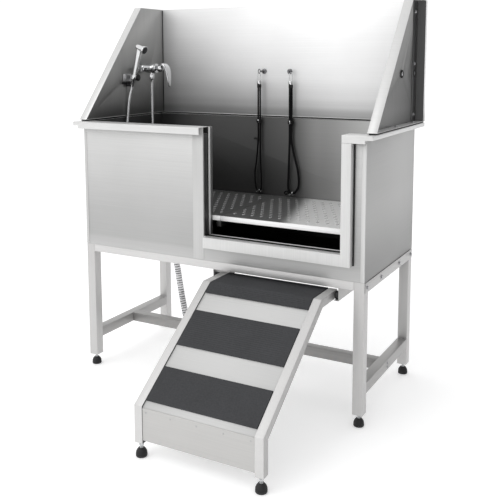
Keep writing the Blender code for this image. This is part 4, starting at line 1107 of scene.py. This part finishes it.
def restraint_loop(side, x):
    """Nylon webbing doubled back on itself, its bindings, and the hardware that it hangs from."""
    near = {"left": 0.0048, "right": 0.0034}[side]
    left = [(-near, 1.1667), (-near, 1.100), (-near, 1.000), (-near, 0.930)]
    right = [(near, 0.930), (near, 1.000), (near, 1.100), (near, 1.1667)]
    outline = left + list(LOOP_SHAPES[side]) + list(LOOP_RETURNS[side]) + right
    fine = smooth_route(smooth_route([(x + shift, LOOP_Y, z) for shift, z in outline], 0.020), 0.0030)
    sections = []
    for index, (point, along) in enumerate(zip(fine, tangents(fine))):
        inward = along.cross(Vector((0, 1, 0))).normalized()
        ripple = 1.0 + 0.03 * math.cos(index * math.pi)
        if side == "left":
            sections.append((point, Vector((0, 0.0056 * ripple, 0)), inward * 0.0018))
        else:
            shift = Vector((0, 0.0022 * (2 * index / (len(fine) - 1) - 1), 0))
            sections.append((point + shift, inward * 0.0049 * ripple, Vector((0, 0.0019, 0))))
    strap = f"restraint_strap_{side}"
    show(strap + ".look", loft(sections, 12, 0.6), NYLON, f"loop_{side}", strap)
    bindings = [block((x - 0.0078, LOOP_Y - 0.0064, 1.1520), (x + 0.0078, LOOP_Y + 0.0064, 1.1662), 0.0014)]
    if side == "left":
        bindings.append(block((x - 0.0240, LOOP_Y - 0.0045, 0.9255), (x - 0.0020, LOOP_Y + 0.0045, 0.9345), 0.0012))
    for z in (1.1480, 1.1440, 1.1400, 1.1360):
        low, high = (x - near - 0.0012, LOOP_Y - 0.0059, z), (x + near + 0.0012, LOOP_Y - 0.0052, z + 0.0016)
        bindings.append(block(low, high, 0.0002))
    show(f"strap_bindings_{side}", merged(bindings), SEAL, f"loop_{side}")
    finished(f"snap_hook_{side}", CHROME, width=0.0004)
    finished(f"eye_bolt_{side}", EYE_STEEL, width=0.0004)
    finished(f"collar_clip_{side}", CHROME, width=0.0003)
    lo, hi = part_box(f"strap_slider_{side}")
    plates = []
    for depth in (-0.0078, 0.0062):
        for low, high in ((lo.z, lo.z + 0.0030), (hi.z - 0.0030, hi.z)):
            plates.append(block((x - 0.0098, LOOP_Y + depth, low), (x + 0.0098, LOOP_Y + depth + 0.0016, high), 0.0006))
    for sign in (-1, 1):
        edge = sorted((x + sign * 0.0080, x + sign * 0.0100))
        plates.append(block((edge[0], LOOP_Y - 0.0078, lo.z), (edge[1], LOOP_Y + 0.0078, hi.z), 0.0006))
    pin = block((x - 0.0030, LOOP_Y - 0.0100, lo.z), (x + 0.0014, LOOP_Y - 0.0074, hi.z), 0.0006)
    show(f"slider_pin_{side}", pin, CHROME, f"slider_{side}")
    slider = f"strap_slider_{side}"
    show(slider + ".look", merged(plates), SEAL, f"slider_{side}", slider)
    curl_at = Vector((x + CURLS[side], LOOP_Y, 0.7015))
    turns = [0.10 * math.tau * (step - 0.5) for step in range(10)]
    curl = [curl_at + Vector((0.0088 * math.cos(a), 0.0035 * math.sin(a), 0.0060 * math.sin(a))) for a in turns]
    curled = tube(smooth_route(curl, 0.002), 0.0027, 10)
    show(f"strap_curl_{side}", curled, NYLON, f"loop_{side}")


for SIDE, LOOP_X in LOOPS.items():
    restraint_loop(SIDE, LOOP_X)


# ---- ramp

RAMP_MIDDLE = 0.256
# the slope under the mats: heights of its bend and foot, and the depth between them
BEND_Z, RAMP_FOOT_Z, SLOPE_DEPTH = 0.474, 0.1765, 0.422
MAT_PITCH, MAT_THICK = 0.0078, 0.0050


def ramp_surface():
    """The slope of the mats: the direction down the ramp and the outward normal."""
    slope = math.atan2(BEND_Z - RAMP_FOOT_Z, SLOPE_DEPTH)
    down = Vector((0, -math.cos(slope), -math.sin(slope)))
    normal = Vector((0, -math.sin(slope), math.cos(slope)))
    return down, normal


def ribbed_mat(node, path, rib=0.0004):
    """A rubber mat with fine cross ribs, following a path of (point, normal) from its top end to its lower end."""
    lo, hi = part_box(node)
    line = [point for point, _ in path]
    total = length_of(line)
    count = int(total / (MAT_PITCH / 4))
    profile = []
    for step in range(count + 1):
        run = total * step / count
        index = 0
        while index < len(line) - 2 and run > (line[index + 1] - line[index]).length:
            run -= (line[index + 1] - line[index]).length
            index += 1
        share = run / (line[index + 1] - line[index]).length
        point = line[index].lerp(line[index + 1], min(share, 1.0))
        normal = path[index][1].lerp(path[index + 1][1], min(share, 1.0)).normalized()
        wave = 0.5 + 0.5 * math.cos(math.tau * step / 4)
        profile.append((point + normal * (MAT_THICK - rib + rib * wave), point))
    bm = bmesh.new()
    columns = []
    for x in (lo.x, hi.x):
        top = [bm.verts.new((x, upper.y, upper.z)) for upper, _ in profile]
        base = [bm.verts.new((x, lower.y, lower.z)) for _, lower in profile]
        columns.append((top, base))
    (top_l, base_l), (top_r, base_r) = columns
    for index in range(count):
        bm.faces.new((top_l[index], top_l[index + 1], top_r[index + 1], top_r[index]))
        bm.faces.new((base_l[index], base_r[index], base_r[index + 1], base_l[index + 1]))
        bm.faces.new((top_l[index], base_l[index], base_l[index + 1], top_l[index + 1]))
        bm.faces.new((top_r[index], top_r[index + 1], base_r[index + 1], base_r[index]))
    bm.faces.new((top_l[0], top_r[0], base_r[0], base_l[0]))
    bm.faces.new((top_l[-1], base_l[-1], base_r[-1], top_r[-1]))
    bmesh.ops.recalc_face_normals(bm, faces=bm.faces)
    show(node + ".look", bm, MAT, "ramp", node)


def deck_side(face):
    """0 on top of a rail and under it, 1 on the side that faces the mats, 2 on its outer side; 1 and 2 take painted
    shade.
    """
    outward = face.normal.x * math.copysign(1.0, face.calc_center_median().x - RAMP_MIDDLE)
    if outward < -0.8:
        return 1
    return 2 if outward > 0.8 else 0


def build_ramp():
    for side in ("left", "right"):
        finished(f"ramp_rail_{side}", RAMP_RAIL, RAIL_INNER_PAINTED_SHADE, RAIL_OUTER_PAINTED_SHADE, width=0.0020, segments=3, pick=deck_side)
        finished(f"ramp_guide_{side}", CROSS_STEEL, width=0.0004)
        finished(f"ramp_roller_{side}", ROLLER, width=0.0006)
    finished("ramp_deck", DECK_STEEL, width=0.0004)
    finished("ramp_front_plate", PLATE_STEEL, width=0.0010, segments=3)
    down, normal = ramp_surface()
    drop = 0.0037
    bend = Vector((0, FRONT - 0.068, BEND_Z))
    level = Vector((0, 0, 1))
    half = (normal + level).normalized()
    turn_at = bend - half * drop / half.dot(level)
    for name, start, end in (("middle", 0.126, 0.272), ("lower", 0.361, 0.490)):
        path = [(turn_at + down * run, normal) for run in (start, end)]
        ribbed_mat(f"ramp_mat_{name}", path)
    path = [(turn_at + Vector((0, run, 0)), level) for run in (0.134, 0.0015)]
    path += [(turn_at, half)] + [(turn_at + down * run, normal) for run in (0.0015, 0.046)]
    ribbed_mat("ramp_mat_top", path, 0.0016)
    ends = ((-1, 0.022 - 0.0160), (1, 0.490 + 0.0160))
    heads = [button((x, FRONT + 0.052, 0.459), (sign, 0, 0), 0.0058) for sign, x in ends]
    show("axle_heads", merged(heads), HARDWARE, "ramp")
    places = (0.066, 0.160, 0.256, 0.352, 0.446)
    rivets = [button((x, FRONT - 0.4885, 0.158), (0, -1, 0), 0.0030) for x in places]
    show("plate_rivets", merged(rivets), HARDWARE, "ramp")


build_ramp()
